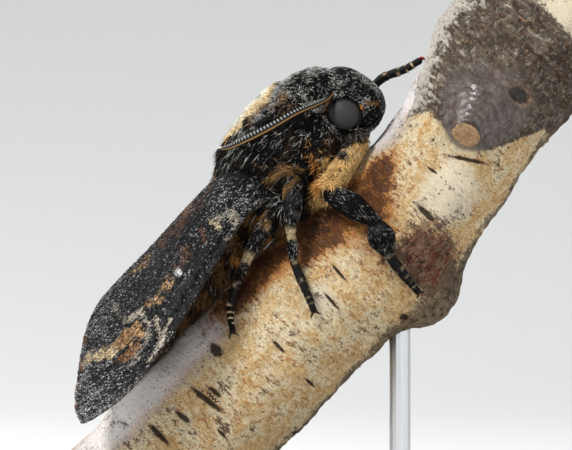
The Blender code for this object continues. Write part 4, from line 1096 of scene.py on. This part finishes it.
# Each coat: how many tufts, their length and width, how far they rise and turn back, the share of pale
# tips, how messy they lie, and their slot.
coatParts = ("count", "length", "width", "lift", "bend", "pale", "messy", "slot")
chestCoat = (27000, (0.9, 2.3), 0.2, (8, 46), 22, 0.12, 0.5, "black_fur")
legCoat = (21000, (0.5, 0.95), 0.14, (8, 26), 14, 0.13, 0.3, "leg")
coats = {
    "coatHead": (30000, (0.40, 0.72), 0.19, (18, 52), 20, 0.36, 0.3, "black_fur"),
    "coatCollar": (13000, (0.8, 1.5), 0.2, (16, 50), 26, 0.40, 0.5, "black_fur"),
    "coatThoraxTop": (19000, (0.8, 1.6), 0.2, (12, 36), 18, 0.34, 0.4, "black_fur"),
    "coatThoraxRight": chestCoat, "coatThoraxLeft": chestCoat,
    "coatAbdomen": (18000, (0.8, 1.5), 0.2, (8, 34), 12, 0.08, 0.35, "banded_fur"),
    "coatLegsRight": legCoat, "coatLegsLeft": legCoat,
    "coatCape": (6000, (1.8, 3.6), 0.26, (16, 40), 30, 0.16, 0.22, "black_fur"),
}
order = {name: number for number, name in enumerate(coats)}
chestCoats = ("coatThoraxRight", "coatThoraxLeft")


def regionOf(points):
    # The number of the coat that each point belongs to: by limb, then head, collar, abdomen, back and chest.
    limb = nearestLimb(points)[0]
    x, y, z = points.T
    chest = np.where(y < 0, order["coatThoraxRight"], order["coatThoraxLeft"])
    region = np.where(x < 23.0, order["coatAbdomen"], np.where(z > 24.0, order["coatThoraxTop"], chest))
    region = np.where(x > 38.0, np.where(inHead(points), order["coatHead"], order["coatCollar"]), region)
    return np.where(limb >= 0, np.where(y < 0, order["coatLegsRight"], order["coatLegsLeft"]), region)


skinMiddles = skinPoints[skinFaces].mean(axis=1)
skinRegion = regionOf(skinMiddles)


def unwrapSpot(name, roots, limb, along):
    # The root's spot on its coat's unwrap: length along the body or the limb, and the angle round it.
    def turnRound(points):
        return np.arctan2(points[:, 1], points[:, 2]) / (2 * math.pi) + 0.5

    if name.startswith("coatLegs"):
        turn = turnRound(roots - np.array([curveThrough(points, 3)[1] for _, points, _ in routes])[limb])
        strip = np.searchsorted(np.unique(limb), limb)
        return np.stack((along + 0.04 * (turn - 0.5), (strip + turn) / (strip.max() + 1)), axis=1)
    if name == "coatHead":
        local = headAxes(roots)
        return np.stack((local[:, 0] / 12.0 + 0.5, turnRound(local)), axis=1)
    turn = turnRound(roots - (0.0, 0.0, 18.5))
    if name.startswith("coatThorax") or name == "coatCape":
        turn = (turn - turn.min()) / (np.ptp(turn) + 1e-9)
    x = roots[:, 0]
    return np.stack(((x - x.min()) / np.ptp(x), turn), axis=1)


def coatDensity(name):
    # Each coat covers its own part of the skin up to the eyes; the cape hangs from the thorax's rear edge.
    if name == "coatCape":
        x, y, z = skinMiddles.T
        trunk = skinRegion < order["coatLegsRight"]
        return trunk * hill((x - 26.2) / 2.0) * (z > 14.0) * smoothStep(np.abs(y), 2.0, 4.0)
    return (skinRegion == order[name]) * (eyeGap(skinMiddles) > 0.12)


def makeCoat(name):
    # Tufts strewn over the coat's part of the skin, laid to the rear or along the limb, pale tips in drifts.
    coat = dict(zip(coatParts, coats[name]))
    onHead, onAbdomen, onLegs = name == "coatHead", name == "coatAbdomen", name.startswith("coatLegs")
    onChest, onThorax = name in chestCoats, name.startswith("coatThorax") or name == "coatCape"
    rng = np.random.default_rng(100 + order[name])
    density = coatDensity(name) + 1e-12
    roots, normals = scatter(skinPoints, skinFaces, skinNormals, coat["count"], density, rng)
    count = len(roots)
    limb, along, heading = nearestLimb(roots)
    x, _, z = roots.T
    lie = np.tile(np.array((-1.0, 0.0, -0.15)), (count, 1))
    if onHead:
        lie = roots - np.array((48.5, 0.0, 11.5))
    if onChest:
        lie[:, 2] -= 0.35 * smoothStep(16.0 - z, 0.0, 6.0)
    if onLegs:
        lie = heading
    lie = unit(lie) + coat["messy"] * rng.normal(size=lie.shape)
    low, high = coat["length"]
    length = low + (high - low) * rng.random(count)
    lift = rng.uniform(*coat["lift"], count) + 14.0 * noise(roots, 1.3, 41, 2)
    if onChest or onAbdomen:  # shaggy below
        under = smoothStep(15.0 - z, 0.0, 2.0) * smoothStep(34.0 - x, 0.0, 6.0)
        length = length * (1 + (1.3 if onAbdomen else 0.7) * under)
        lift = lift + 34.0 * under
    if onLegs:  # the coxae are shaggier than the legs
        shaggy = np.array(["coxa" in part for part, _, _ in routes] + [False])[limb]
        length = length * (1 + 0.9 * shaggy)
        lift = lift + 12.0 * shaggy
    if onHead:  # short at the eyes
        length = length * (1 - 0.35 * smoothStep(1.2 - eyeGap(roots), 0.0, 1.0))
    base = bodyColours(roots, limb, along)
    value = base.max(axis=1)[:, None]
    # Pale tips stand in drifts, more of them over the back than on the chest.
    drift = 0.2 + 1.6 * smoothStep(noise(roots, 1.7, 42, 2), -0.35, 0.5)
    drift = drift * (1.0 + 0.9 * smoothStep(z, 18.0, 23.0) * (not onHead))
    drift = drift * (1.0 - 0.9 * smoothStep(16.5 - z, 0.0, 3.0) * onChest)
    speckle = rng.random(count) < coat["pale"] * drift
    shade = rng.random((count, 1)) ** 1.3
    dusted = np.array(tints["grey"]) * 0.8 * (1 - shade) + np.array(tints["white"]) * shade
    tip = np.where(value > 0.1, np.minimum(base * 1.35 + 0.04, 0.9), dusted)
    warm = (noise(roots, 2.2, 44, 1) > 0.25)[:, None] & onThorax
    tip = np.where(warm & (value < 0.1), tip * (0.72, 0.50, 0.30), tip)
    width = coat["width"] * rng.uniform(0.7, 1.25, count)
    points, faces = growTufts(roots, normals, lie, length, width, lift, coat["bend"], rng, tuft)
    keepOff(points, 0.08)
    makePiece(name, points, (faces,), furSheet, (), tuftColours(base, tip, speckle, rng),
              patchUv(unwrapSpot(name, roots, limb, along)))


for coatName in coats:
    makeCoat(coatName)
    print(coatName)

# The wings: the right forewing's edges, its veins and how many vanes; the hindwing lies under it.
wing = {
    "costa": ((26.0, -6.8, 18.4), (23.2, -8.6, 16.2), (20.0, -11.2, 16.4), (12.8, -14.5, 14.9),
              (0.8, -18.0, 12.1), (-9.3, -18.8, 11.1), (-15.5, -17.8, 12.0), (-18.8, -15.8, 13.3)),
    "inner": ((26.0, -6.0, 21.8), (22.0, -4.3, 23.5), (17.0, -1.7, 23.9), (8.0, -0.6, 23.75),
              (1.0, -0.5, 23.8), (-6.0, -0.6, 23.6)),
    "tipRounding": (0.075, 0.085), "arch": 1.5, "outwards": (0.0, -0.56, 0.83), "thickness": 0.55,
    "start": 0.03,
    "hindDrop": 1.05, "hindLength": (0.12, 0.68), "hindEdges": ((0.10, 0.46), (0.06, 0.74)),
    "veins": (0.07, 0.15, 0.235, 0.34, 0.46, 0.60, 0.76, 0.90), "veinHeight": 0.09, "coatDepth": 0.12,
    "vanes": 26500, "fringe": 2600, "frontVanes": 2200, "grid": (200, 64), "bend": 8.0,
    "hindVanes": 6500, "hindGrid": (80, 44), "hindBands": ((0.55, 0.06), (0.82, 0.09)), "hindPale": 0.06,
}
# Wing markings seen from the side, as the body's.
wingMarks = (
    ("bone", 16.3, 19.6, 18.2, 19.1, 0.58, 1.0), ("bone", 18.2, 19.1, 19.1, 17.5, 0.65, 1.0),
    ("bone", 19.1, 17.5, 18.5, 16.3, 0.58, 1.0), ("bone", 18.2, 16.2, 16.1, 16.2, 0.58, 0.95),
    ("cream", 16.3, 19.6, 16.3, 18.3, 0.43, 0.8), ("rust", 14.4, 19.8, 13.5, 18.3, 0.51, 0.8),
    ("rust", 10.4, 19.2, 8.9, 18.3, 0.58, 0.8), ("buff", 5.2, 18.0, 2.8, 17.9, 0.58, 0.75),
    ("buff", 3.5, 18.0, 1.5, 17.7, 0.36, 0.6), ("rust", 22.5, 23.8, 18.8, 23.3, 0.58, 0.6),
    ("rust", 17.8, 23.2, 14.0, 23.3, 0.72, 0.6), ("rust", 12.8, 23.1, 8.4, 23.1, 0.65, 0.55),
    ("buff", 6.1, 22.9, 3.0, 23.0, 0.43, 0.45), ("buff", 16.0, 23.8, 14.7, 23.7, 0.36, 0.5),
    ("black", 22.0, 20.3, 18.4, 19.8, 0.58, 0.8), ("black", 14.6, 17.4, 8.9, 16.0, 1.16, 0.85),
    ("black", 15.1, 15.2, 7.1, 13.1, 0.72, 0.9), ("black", 5.7, 13.8, -1.9, 12.4, 0.87, 0.85),
    ("black", 17.2, 22.2, 13.0, 21.2, 0.58, 0.7), ("black", 6.5, 21.1, 1.5, 20.4, 0.72, 0.6),
    ("black", 18.7, 16.3, 15.8, 15.1, 0.58, 0.9), ("pale", 7.7, 18.0, 7.5, 17.8, 0.26, 1.0),
    ("buff", -7.9, 17.6, -2.8, 16.2, 0.72, 0.8), ("tawny", -6.0, 17.5, -3.7, 16.7, 0.43, 0.6),
    ("tawny", -6.9, 15.3, -4.1, 14.5, 0.58, 0.7), ("cream", -10.6, 18.8, -7.3, 17.0, 0.58, 0.85),
    ("cream", -11.8, 19.0, -10.4, 18.5, 0.43, 0.8), ("bone", -2.9, 18.8, -0.4, 17.8, 0.29, 0.8),
    ("bone", -0.4, 17.8, -0.8, 15.7, 0.26, 0.6), ("bone", -0.8, 15.7, -3.2, 14.0, 0.28, 0.6),
    ("bone", -3.2, 14.0, -5.6, 14.0, 0.26, 0.5), ("bone", 0.5, 15.7, -0.4, 14.0, 0.26, 0.8),
    ("bone", -1.4, 12.7, -4.1, 12.2, 0.32, 0.85), ("bone", -7.1, 13.7, -3.7, 13.1, 0.26, 0.7),
    ("bone", 2.0, 14.0, -0.9, 13.2, 0.26, 0.8), ("bone", -2.6, 22.4, -2.9, 20.2, 0.29, 0.6),
    ("black", -9.1, 21.5, -7.2, 18.7, 0.72, 0.85), ("black", -11.5, 16.8, -7.6, 13.8, 0.72, 0.85),
    ("black", -3.0, 19.8, -5.5, 19.2, 0.58, 0.8), ("black", -6.1, 21.4, -9.6, 20.3, 0.43, 0.6),
    ("tawny", -5.9, 23.3, -5.7, 23.5, 0.32, 0.9), ("tawny", -9.6, 21.0, -9.3, 21.3, 0.43, 0.9),
    ("tawny", -12.2, 19.0, -11.8, 19.4, 0.43, 0.9), ("tawny", -14.6, 17.0, -14.2, 17.4, 0.46, 0.9),
    ("tawny", -16.8, 15.0, -16.5, 15.4, 0.43, 0.9),
)


def wingSurface(u, v):
    # The right forewing's middle: straight lines from the leading edge, v = 0, to the inner margin,
    # v = 1, arched outwards by a sine of v. u runs from root to tip.
    front = curveAt(wing["costa"], u * (len(wing["costa"]) - 1.0))
    rear = curveAt(wing["inner"], u * (len(wing["inner"]) - 1.0))
    arch = wing["arch"] * np.sin(math.pi * v) * np.sin(math.pi * np.clip(0.08 + 0.9 * u, 0.0, 1.0)) ** 0.5
    return front + (rear - front) * v[..., None] + arch[..., None] * np.array(wing["outwards"])


def wingAxes(u, v):
    # The heading along u, and the normal out of the upper side.
    step = 0.004
    along = wingSurface(u + step, v) - wingSurface(u - step, v)
    normal = np.cross(along, wingSurface(u, v + step) - wingSurface(u, v - step))
    return unit(along), unit(normal * np.sign(normal @ np.array(wing["outwards"]))[..., None])


def wingRelief(u, v):
    # Veins as narrow bells across v, with the skin sunk a little between them, and fine uneven ripples.
    height = 0.0
    for number, vein in enumerate(wing["veins"]):
        bow = vein + 0.03 * np.sin(math.pi * u) * (vein - 0.5)
        size = (0.012 + 0.004 * (number < 3)) * (1.2 - 0.4 * u)
        height = height + wing["veinHeight"] * (1.5 if number < 3 else 1.0) * hill((v - bow) / size)
    height = height + 0.10 * np.sin(v * 38.0 + 3.0 * u) * smoothStep(0.45 - v, 0.0, 0.2)
    return height * smoothStep(np.minimum(v, 1 - v), 0.0, 0.03)


def wingColours(points, u, v, hind=False, rng=None):
    # Forewing: black, dusted; pale clouds; strokes; a brown leading edge. Hindwing: ochre, two dark bands.
    # With rng a stroke's share is the chance that a scale takes its tint. Gives a pale scale's chance too.
    x, z = points[:, 0], points[:, 2]
    flat = points * (1.0, 0.0, 1.0)
    clouds = noise(flat, 1.3, 51, 2)
    wide = noise(flat, 4.5, 52, 2)
    if hind:
        bands = [(smoothStep(1.2 - np.abs(u - place) / size + 0.4 * clouds, 0.0, 0.6), "black")
                 for place, size in wing["hindBands"]]
        return painted(plain("ochre", len(x)), *bands), np.full(len(x), wing["hindPale"])
    colour = painted(plain("black", len(x)), (smoothStep(wide, 0.1, 0.6) * 0.5, "char"))
    streak = noise(np.stack((u * 9.0, v * 60.0, 0 * u), axis=1), 1.0, 53, 2)
    pale = 0.07 + 0.24 * smoothStep(wide + 1.1 * streak, 0.0, 0.6) + 0.14 * smoothStep(clouds, 0.0, 0.6)
    pale = pale + 0.34 * smoothStep(u, 0.66, 0.92) - 0.10 * smoothStep(0.2 - u, 0.0, 0.15)
    for share, tint in strokes(x, z, wingMarks, 1.7 * clouds + 1.2 * streak):
        if rng is not None:
            share = (rng.random(len(x)) < share * 0.78).astype(float)
        colour = painted(colour, (share, tint))
        pale = pale * (1 - share * (0.9 if tint == "black" else 0.6))
    return painted(colour, (smoothStep(0.020 - v, 0.0, 0.010) * 0.6, "brown")), np.clip(pale, 0.02, 0.8)


def wingHeights(u, v, drop):
    # How far along the normal the upper and the lower skin lie: half the thickness, thin at both edges.
    relief = wingRelief(u, v)[..., None]
    edge = smoothStep(np.minimum(v, 1 - v), -0.02, 0.035)[..., None]
    half = (wing["thickness"] / 2 - wing["coatDepth"]) * edge
    return half - drop + relief, -(half + drop - 0.6 * relief)


def tipRounding(v):
    # How far the outer edge is drawn in: nothing at the middle of v, most at its two corners.
    return np.where(v < 0.5, *wing["tipRounding"]) * np.abs(2.0 * v - 1.0) ** 4


def wingGrid(hind):
    # The places u, v of the wing's rows and columns; the hindwing is a part of the same surface.
    rows, columns = wing["hindGrid" if hind else "grid"]
    start, end = wing["hindLength"] if hind else (wing["start"], 1.0)
    u, v = np.meshgrid(np.linspace(start, end, rows), np.linspace(0, 1, columns), indexing="ij")
    if not hind:
        return u - tipRounding(v) * np.clip(u, 0.0, 1.0) ** 8, v
    reach = (u - start) / (end - start)
    root, tip = wing["hindEdges"]
    front = root[0] + (tip[0] - root[0]) * reach
    return u - 0.06 * v * reach, front + (root[1] + (tip[1] - root[1]) * reach - front) * v


def makeWing(kind, sideName, side):
    # Rings round the wing, each over its top from front to rear and back below, and then its scales.
    hind = kind == "hindwing"
    u, v = wingGrid(hind)
    drop = wing["hindDrop"] if hind else 0.0
    middle, (_, normal), (upper, lower) = wingSurface(u, v), wingAxes(u, v), wingHeights(u, v, drop)
    rings = np.concatenate((middle + normal * upper, (middle + normal * lower)[:, ::-1]), axis=1)
    rings[..., 1] *= -side
    points, quads, triangles = tube(rings)
    allU, allV = (np.concatenate((np.concatenate((grid, grid[:, ::-1]), axis=1).ravel(), grid[(0, -1), 0]))
                  for grid in (u, v))
    colours, pale = wingColours(points * (1, -side, 1), allU, allV, hind)
    colours = colours + 0.03 * pale[:, None] * (not hind)
    node = f"{kind}_{sideName.lower()}"
    makePiece(kind + sideName, points, (triangles, quads), wingSheet, (node,), colours)
    makeScales(kind, sideName, side, u, v, drop)


def makeScales(kind, sideName, side, u, v, drop):
    # Vanes at random places of the wing's grid, most on the upper side; on the forewing the first of them
    # make the fringe at the outer edge, and the next the leading edge.
    hind = kind == "hindwing"
    rng = np.random.default_rng(300 + 10 * hind + side)
    rows, columns = u.shape
    count = wing["hindVanes"] if hind else wing["vanes"]
    below = count // 6 if hind else count // 9
    pickU, pickV = rng.random(count) * (rows - 1), rng.random(count) * (columns - 1)
    i, j = pickU.astype(int), pickV.astype(int)
    tu, tv = pickU - i, pickV - j
    su, sv = ((grid[i, j] * (1 - tu) + grid[i + 1, j] * tu) * (1 - tv)
              + (grid[i, j + 1] * (1 - tu) + grid[i + 1, j + 1] * tu) * tv for grid in (u, v))
    fringe = slice(0, 0 if hind else wing["fringe"])
    if not hind:
        su[fringe] = 1.0 - 0.006 * rng.random(wing["fringe"])
        front = slice(wing["fringe"], wing["fringe"] + wing["frontVanes"])
        sv[front] = 0.016 * rng.random(wing["frontVanes"])
        su = np.minimum(su, 1.0 - 0.004 * rng.random(count) - tipRounding(sv))
    along, normal = wingAxes(su, sv)
    top = np.where(np.arange(count) < count - below, 1.0, -1.0)
    roots = wingSurface(su, sv) + normal * np.where(top[:, None] > 0, *wingHeights(su, sv, drop))
    colours, pale = wingColours(roots, su, sv, hind, rng)
    speckle = rng.random(count) < pale
    shade = rng.random((count, 1)) ** 2.0
    bright = np.array(tints["grey"]) * 0.9 * (1 - shade)
    bright = bright + np.array(tints["white"]) * (0.95, 0.99, 1.06) * shade
    base = np.where((speckle & (colours.max(axis=1) < 0.12))[:, None], bright,
                    colours * rng.uniform(0.55, 1.25, (count, 1)))
    length = rng.uniform(0.34, 0.56, count)
    width = rng.uniform(0.15, 0.25, count)
    lift = rng.uniform(6.0, 20.0, count)
    if not hind:
        length[fringe] = rng.uniform(0.45, 0.8, wing["fringe"])
        width[fringe] = 0.17
        lift[fringe] = rng.uniform(-6.0, 6.0, wing["fringe"])
        base[fringe] *= np.where(base[fringe].max(axis=1, keepdims=True) > 0.3, 1.0, 0.7)
        hairy = smoothStep(0.24 - su, 0.0, 0.2)  # near the root the scales are long, thin and hair-like
        hairy[fringe] = 0.0
        length = length * (1 + 2.4 * hairy)
        width = width * (1 - 0.3 * hairy)
        lift = lift + 12.0 * hairy
    lie = along + 0.16 * rng.normal(size=along.shape)
    flip = np.array((1, -side, 1))
    normal = normal * top[:, None] * flip
    points, faces = growTufts(roots * flip, normal, lie * flip, length, width, lift, wing["bend"], rng, vane)
    whole = np.stack((base * 0.7, base, base, base * 0.6, base * 1.1), axis=1).reshape(-1, 3)
    strip = np.where(top > 0, 0.86 * pickV / columns, 0.88 + 0.12 * pickV / columns)
    spots = np.stack((pickU / rows, strip), axis=1)
    if not hind:
        spots[fringe, 0] = 0.985 + 0.015 * rng.random(wing["fringe"])
    makePiece(kind + sideName + "Scales", points, (faces,), scaleSheet, (), whole, patchUv(spots))


wingSheet = coatSheet("wingSkin", 0.6, 3800.0, 0.00012, Specular_IOR_Level=0.15)
scaleSheet = coatSheet("scales", 0.5, 3000.0, 0.0, Specular_IOR_Level=0.22)
for wingKind in ("forewing", "hindwing"):
    for wingSide in sides:
        makeWing(wingKind, *wingSide)
print("wings")


def makeEyes():
    # A ball of fine facets, matt grey over its middle and nearly black towards its rim.
    sheet = Sheet("eyeFacets", 0.5, Specular_IOR_Level=0.12)
    facets = sheet.cells(sheet.place(), 9000.0)
    rim = sheet.field("coat", "Color")
    sheet.give("Base Color", sheet.blend(facets.between(0.2, 0.6) * 0.25, rim, (0.01, 0.01, 0.01)))
    sheet.relief(1.0 - facets, 0.00002)
    grey, black = np.array((0.036, 0.034, 0.032)), np.array((0.004, 0.0035, 0.0035))
    x, y, z = body["eye"]
    size = body["eyeRadius"] - 0.02
    across, over = ovalOutline(72)
    turn = np.radians(np.linspace(-88.0, 88.0, 48))[:, None]
    for sideName, side in sides:
        points, quads, triangles = tube(np.stack((x + size * np.cos(turn) * across,
                                                  side * (y + size * np.sin(turn)) + 0 * across,
                                                  z + size * np.cos(turn) * over), axis=-1))
        out = np.hypot(points[:, 0] - x, points[:, 2] - z)
        share = smoothStep(2.12 - out + 0.04 * noise(points, 0.5, 61), -0.08, 0.12)[:, None]
        makePiece("eye" + sideName, points, (triangles, quads), sheet.material,
                  ("eye_" + sideName.lower(),), grey * share + black * (1 - share))


feeler = {
    "route": ((42.3, -4.1, 19.9), (40.9, -6.5, 19.9), (39.0, -7.9, 20.6), (36.2, -9.1, 21.75),
              (32.3, -9.6, 22.9), (28.6, -9.0, 24.2), (25.8, -7.2, 25.4), (24.6, -6.2, 26.5)),
    "radii": (0.42, 0.42, 0.48, 0.58, 0.66, 0.66, 0.5, 0.28), "segments": 52, "ringsEach": 6, "sides": 16,
}


def makeFeelers():
    # A rod whose radius swells in every segment: pale ridges above, a gold line below and a white tip.
    sheet, own, fine = ownSheet("feelerHorn", 0.5, 6000.0, 3.0, Specular_IOR_Level=0.10)
    sheet.give("Base Color", sheet.blend(fine * 0.5, own, sheet.dimmed(own, (0.5, 0.5, 0.5))))
    sheet.relief(fine, 0.00003)
    count = feeler["segments"] * feeler["ringsEach"]
    angle = turnsOf(feeler["sides"])
    cosine, sine = np.cos(angle), np.sin(angle)
    phase = ((np.arange(count) % feeler["ringsEach"]) / (feeler["ringsEach"] - 1.0))[:, None] - 0.5
    share = np.linspace(0.0, 1.0, count)[:, None]
    size = curveThrough(feeler["radii"], count) * (0.84 + 0.16 * hill(phase / 0.28) * (0.55 + 0.45 * sine))
    size = size * smoothStep(1.0 - share, -0.03, 0.1) ** 0.5 * (1.0 - 0.22 * cosine ** 2)
    onRidge = hill(phase / 0.15) * smoothStep(0.25 * cosine + sine, 0.1, 0.6) * smoothStep(share, 0.10, 0.2)
    line = smoothStep(0.16 - np.abs(sine + 0.66), 0.0, 0.1) * (cosine > 0.0) + 0 * share
    white = smoothStep(share, 0.93, 0.97) * smoothStep(sine, -0.4, 0.2)
    colours = painted(plain("black", count * feeler["sides"]), ((onRidge * 0.72).ravel(), "pale"),
                      (line.ravel(), "gold"), (white.ravel(), "white"))
    colours = np.concatenate((colours, colours[:1], colours[-1:]))
    for sideName, side in sides:
        middle = curveThrough([(x, -y * side, z) for x, y, z in feeler["route"]], count)
        heading = carriedFrame(middle)[0]
        out = np.tile(np.array((0.0, side * 1.0, 0.35)), (count, 1))
        out = unit(out - heading * np.einsum("ij,ij->i", out, heading)[:, None])
        up = unit(np.cross(out, heading)) * side
        points, quads, triangles = tube(ringsAround(middle, size, (cosine, sine), out, up))
        makePiece("feeler" + sideName, points, (triangles, quads), sheet.material,
                  ("antenna_" + sideName.lower(),), colours)
    makeTongue(sheet.material)


def makeTongue(material):
    # A curled tube below the head, brown with gold clouds.
    route = [headPoint(np.float64(along), 0.0, over) for along, over in body["tongue"]]
    points, quads, triangles = limbTube(route, (0.40, 0.40, 0.38, 0.3), 14, 40)
    colours = painted(plain("brown", len(points)), (hill(noise(points, 0.4, 63) / 0.4) * 0.3, "gold"))
    makePiece("tongue", points, (triangles, quads), material, ("proboscis",), colours)


foot = {
    "joints": (0.0, 0.40, 0.58, 0.72, 0.85, 1.001), "steps": 70, "sides": 14, "spines": 14,
    "clawRadii": (0.22, 0.17, 0.05), "thornRadii": (0.045, 0.035, 0.01),
}


def makeFoot(number, name, material):
    # Five segments, each swelling to its end, with pale rings at the joints, spines and two hooked claws.
    _, _, ankle, feet, _, _, thin, _ = legs[name]
    rng = np.random.default_rng(500 + number)
    count = foot["steps"]
    stations = [onBranch(*spot) for spot in (ankle, *feet)]
    end = stations[-1]
    middle = curveThrough(stations, count)
    share = np.linspace(0.0, 1.0, count)
    joints = np.array(foot["joints"])
    part = np.searchsorted(joints, share, side="right") - 1
    inside = (share - joints[part]) / (joints[part + 1] - joints[part])
    radius = curveThrough(thin, count)[:, 0] * (0.84 + 0.16 * inside ** 1.5)
    shells = [limbTube(middle, radius, foot["sides"], count)]
    points = shells[0][0]
    nearest = np.linalg.norm(points[:, None] - middle[None], axis=2).argmin(axis=1)
    ring = (hill((inside - 0.95) / 0.10) + hill((inside - 0.02) / 0.08)) * (share < 0.9)
    wanted = ring[nearest] * (0.95 if "left" in name or "hind" in name else 0.35)
    wanted = wanted * smoothStep(noise(points, 0.6, 71), -0.25, 0.25)
    colours = [painted(plain("char", len(points)), (wanted, "cream"))]
    heading = unit(end - stations[-2])
    away = unit(onBranch(feet[-1][0], feet[-1][1], 5.0) - end)
    for _, hand in sides:
        spread = np.cross(heading, away) * hand * 0.55
        claw = (end - heading * 0.1, end + heading * 0.6 + spread * 0.8 + away * 0.2,
                end + heading + spread * 1.5 - away * 0.32)
        shells.append(limbTube(claw, foot["clawRadii"], 10, 14))
        colours.append(plain("red" if name == "foreleg_left" else "claw", len(shells[-1][0])))
    for _ in range(foot["spines"]):
        pick = int(rng.uniform(0.08, 0.9) * count)
        out = unit(rng.normal(size=3) + away * 0.3)
        ahead = unit(middle[min(pick + 1, count - 1)] - middle[pick - 1])
        out = unit(out - ahead * (out @ ahead))
        base = middle[pick] + out * radius[pick] * 0.8
        thorn = (base, base + (out + 1.6 * ahead) * 0.13, base + (out + 2.4 * ahead) * 0.22)
        shells.append(limbTube(thorn, foot["thornRadii"], 5, 4))
        colours.append(plain("brown", len(shells[-1][0])))
    points, quads, triangles = joined(shells)
    pair, side = name.split("_")
    title = "foot" + pair[:-3].capitalize() + side.capitalize()
    makePiece(title, points, (triangles, quads), material, (name + "_tarsus",),
              np.concatenate(colours))


def makeFeet():
    # The feet's horn, mottled by fine noise, and the six feet.
    sheet, own, fine = ownSheet("footHorn", 0.55, 5200.0, 4.0, Specular_IOR_Level=0.10)
    sheet.give("Base Color", sheet.blend(fine.between(0.35, 0.65), sheet.dimmed(own, (0.4, 0.38, 0.36)), own))
    sheet.relief(fine, 0.00006)
    for number, name in enumerate(legs):
        makeFoot(number, name, sheet.material)


makeEyes()
makeFeelers()
makeFeet()
print("eyes, feelers, tongue and feet")


def finishStand():
    # The stand keeps its CAD shapes and gets its finishes: satin paint, slightly uneven, and brushed steel.
    paint = Sheet("satinPaint", 0.42, Coat_Weight=0.2, Coat_Roughness=0.3)
    mottle = paint.clouds(paint.place(), 160.0, 5.0)
    dark, light = (0.050, 0.051, 0.055), (0.070, 0.071, 0.075)
    paint.give("Base Color", paint.blend(mottle.between(0.3, 0.7), dark, light))
    paint.give("Roughness", 0.34 + mottle * 0.18)
    paint.relief(paint.clouds(paint.place(), 1400.0, 3.0), 0.00004)
    steel = Sheet("brushedSteel", 0.32, Metallic=1.0)
    brushed = steel.clouds(steel.scaled(steel.place(), (900.0, 900.0, 14.0)), 6.0, 4.0)
    steel.give("Base Color", steel.blend(brushed, (0.52, 0.53, 0.55), (0.66, 0.67, 0.69)))
    steel.give("Roughness", 0.24 + brushed * 0.2)
    steel.relief(brushed, 0.00002)
    for node, sheet in (("stand_base", paint), ("stand_rod_low", steel), ("stand_rod_high", steel)):
        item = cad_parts[node]
        item.data.materials.clear()
        item.data.materials.append(sheet.material)


finishStand()
print("stand")
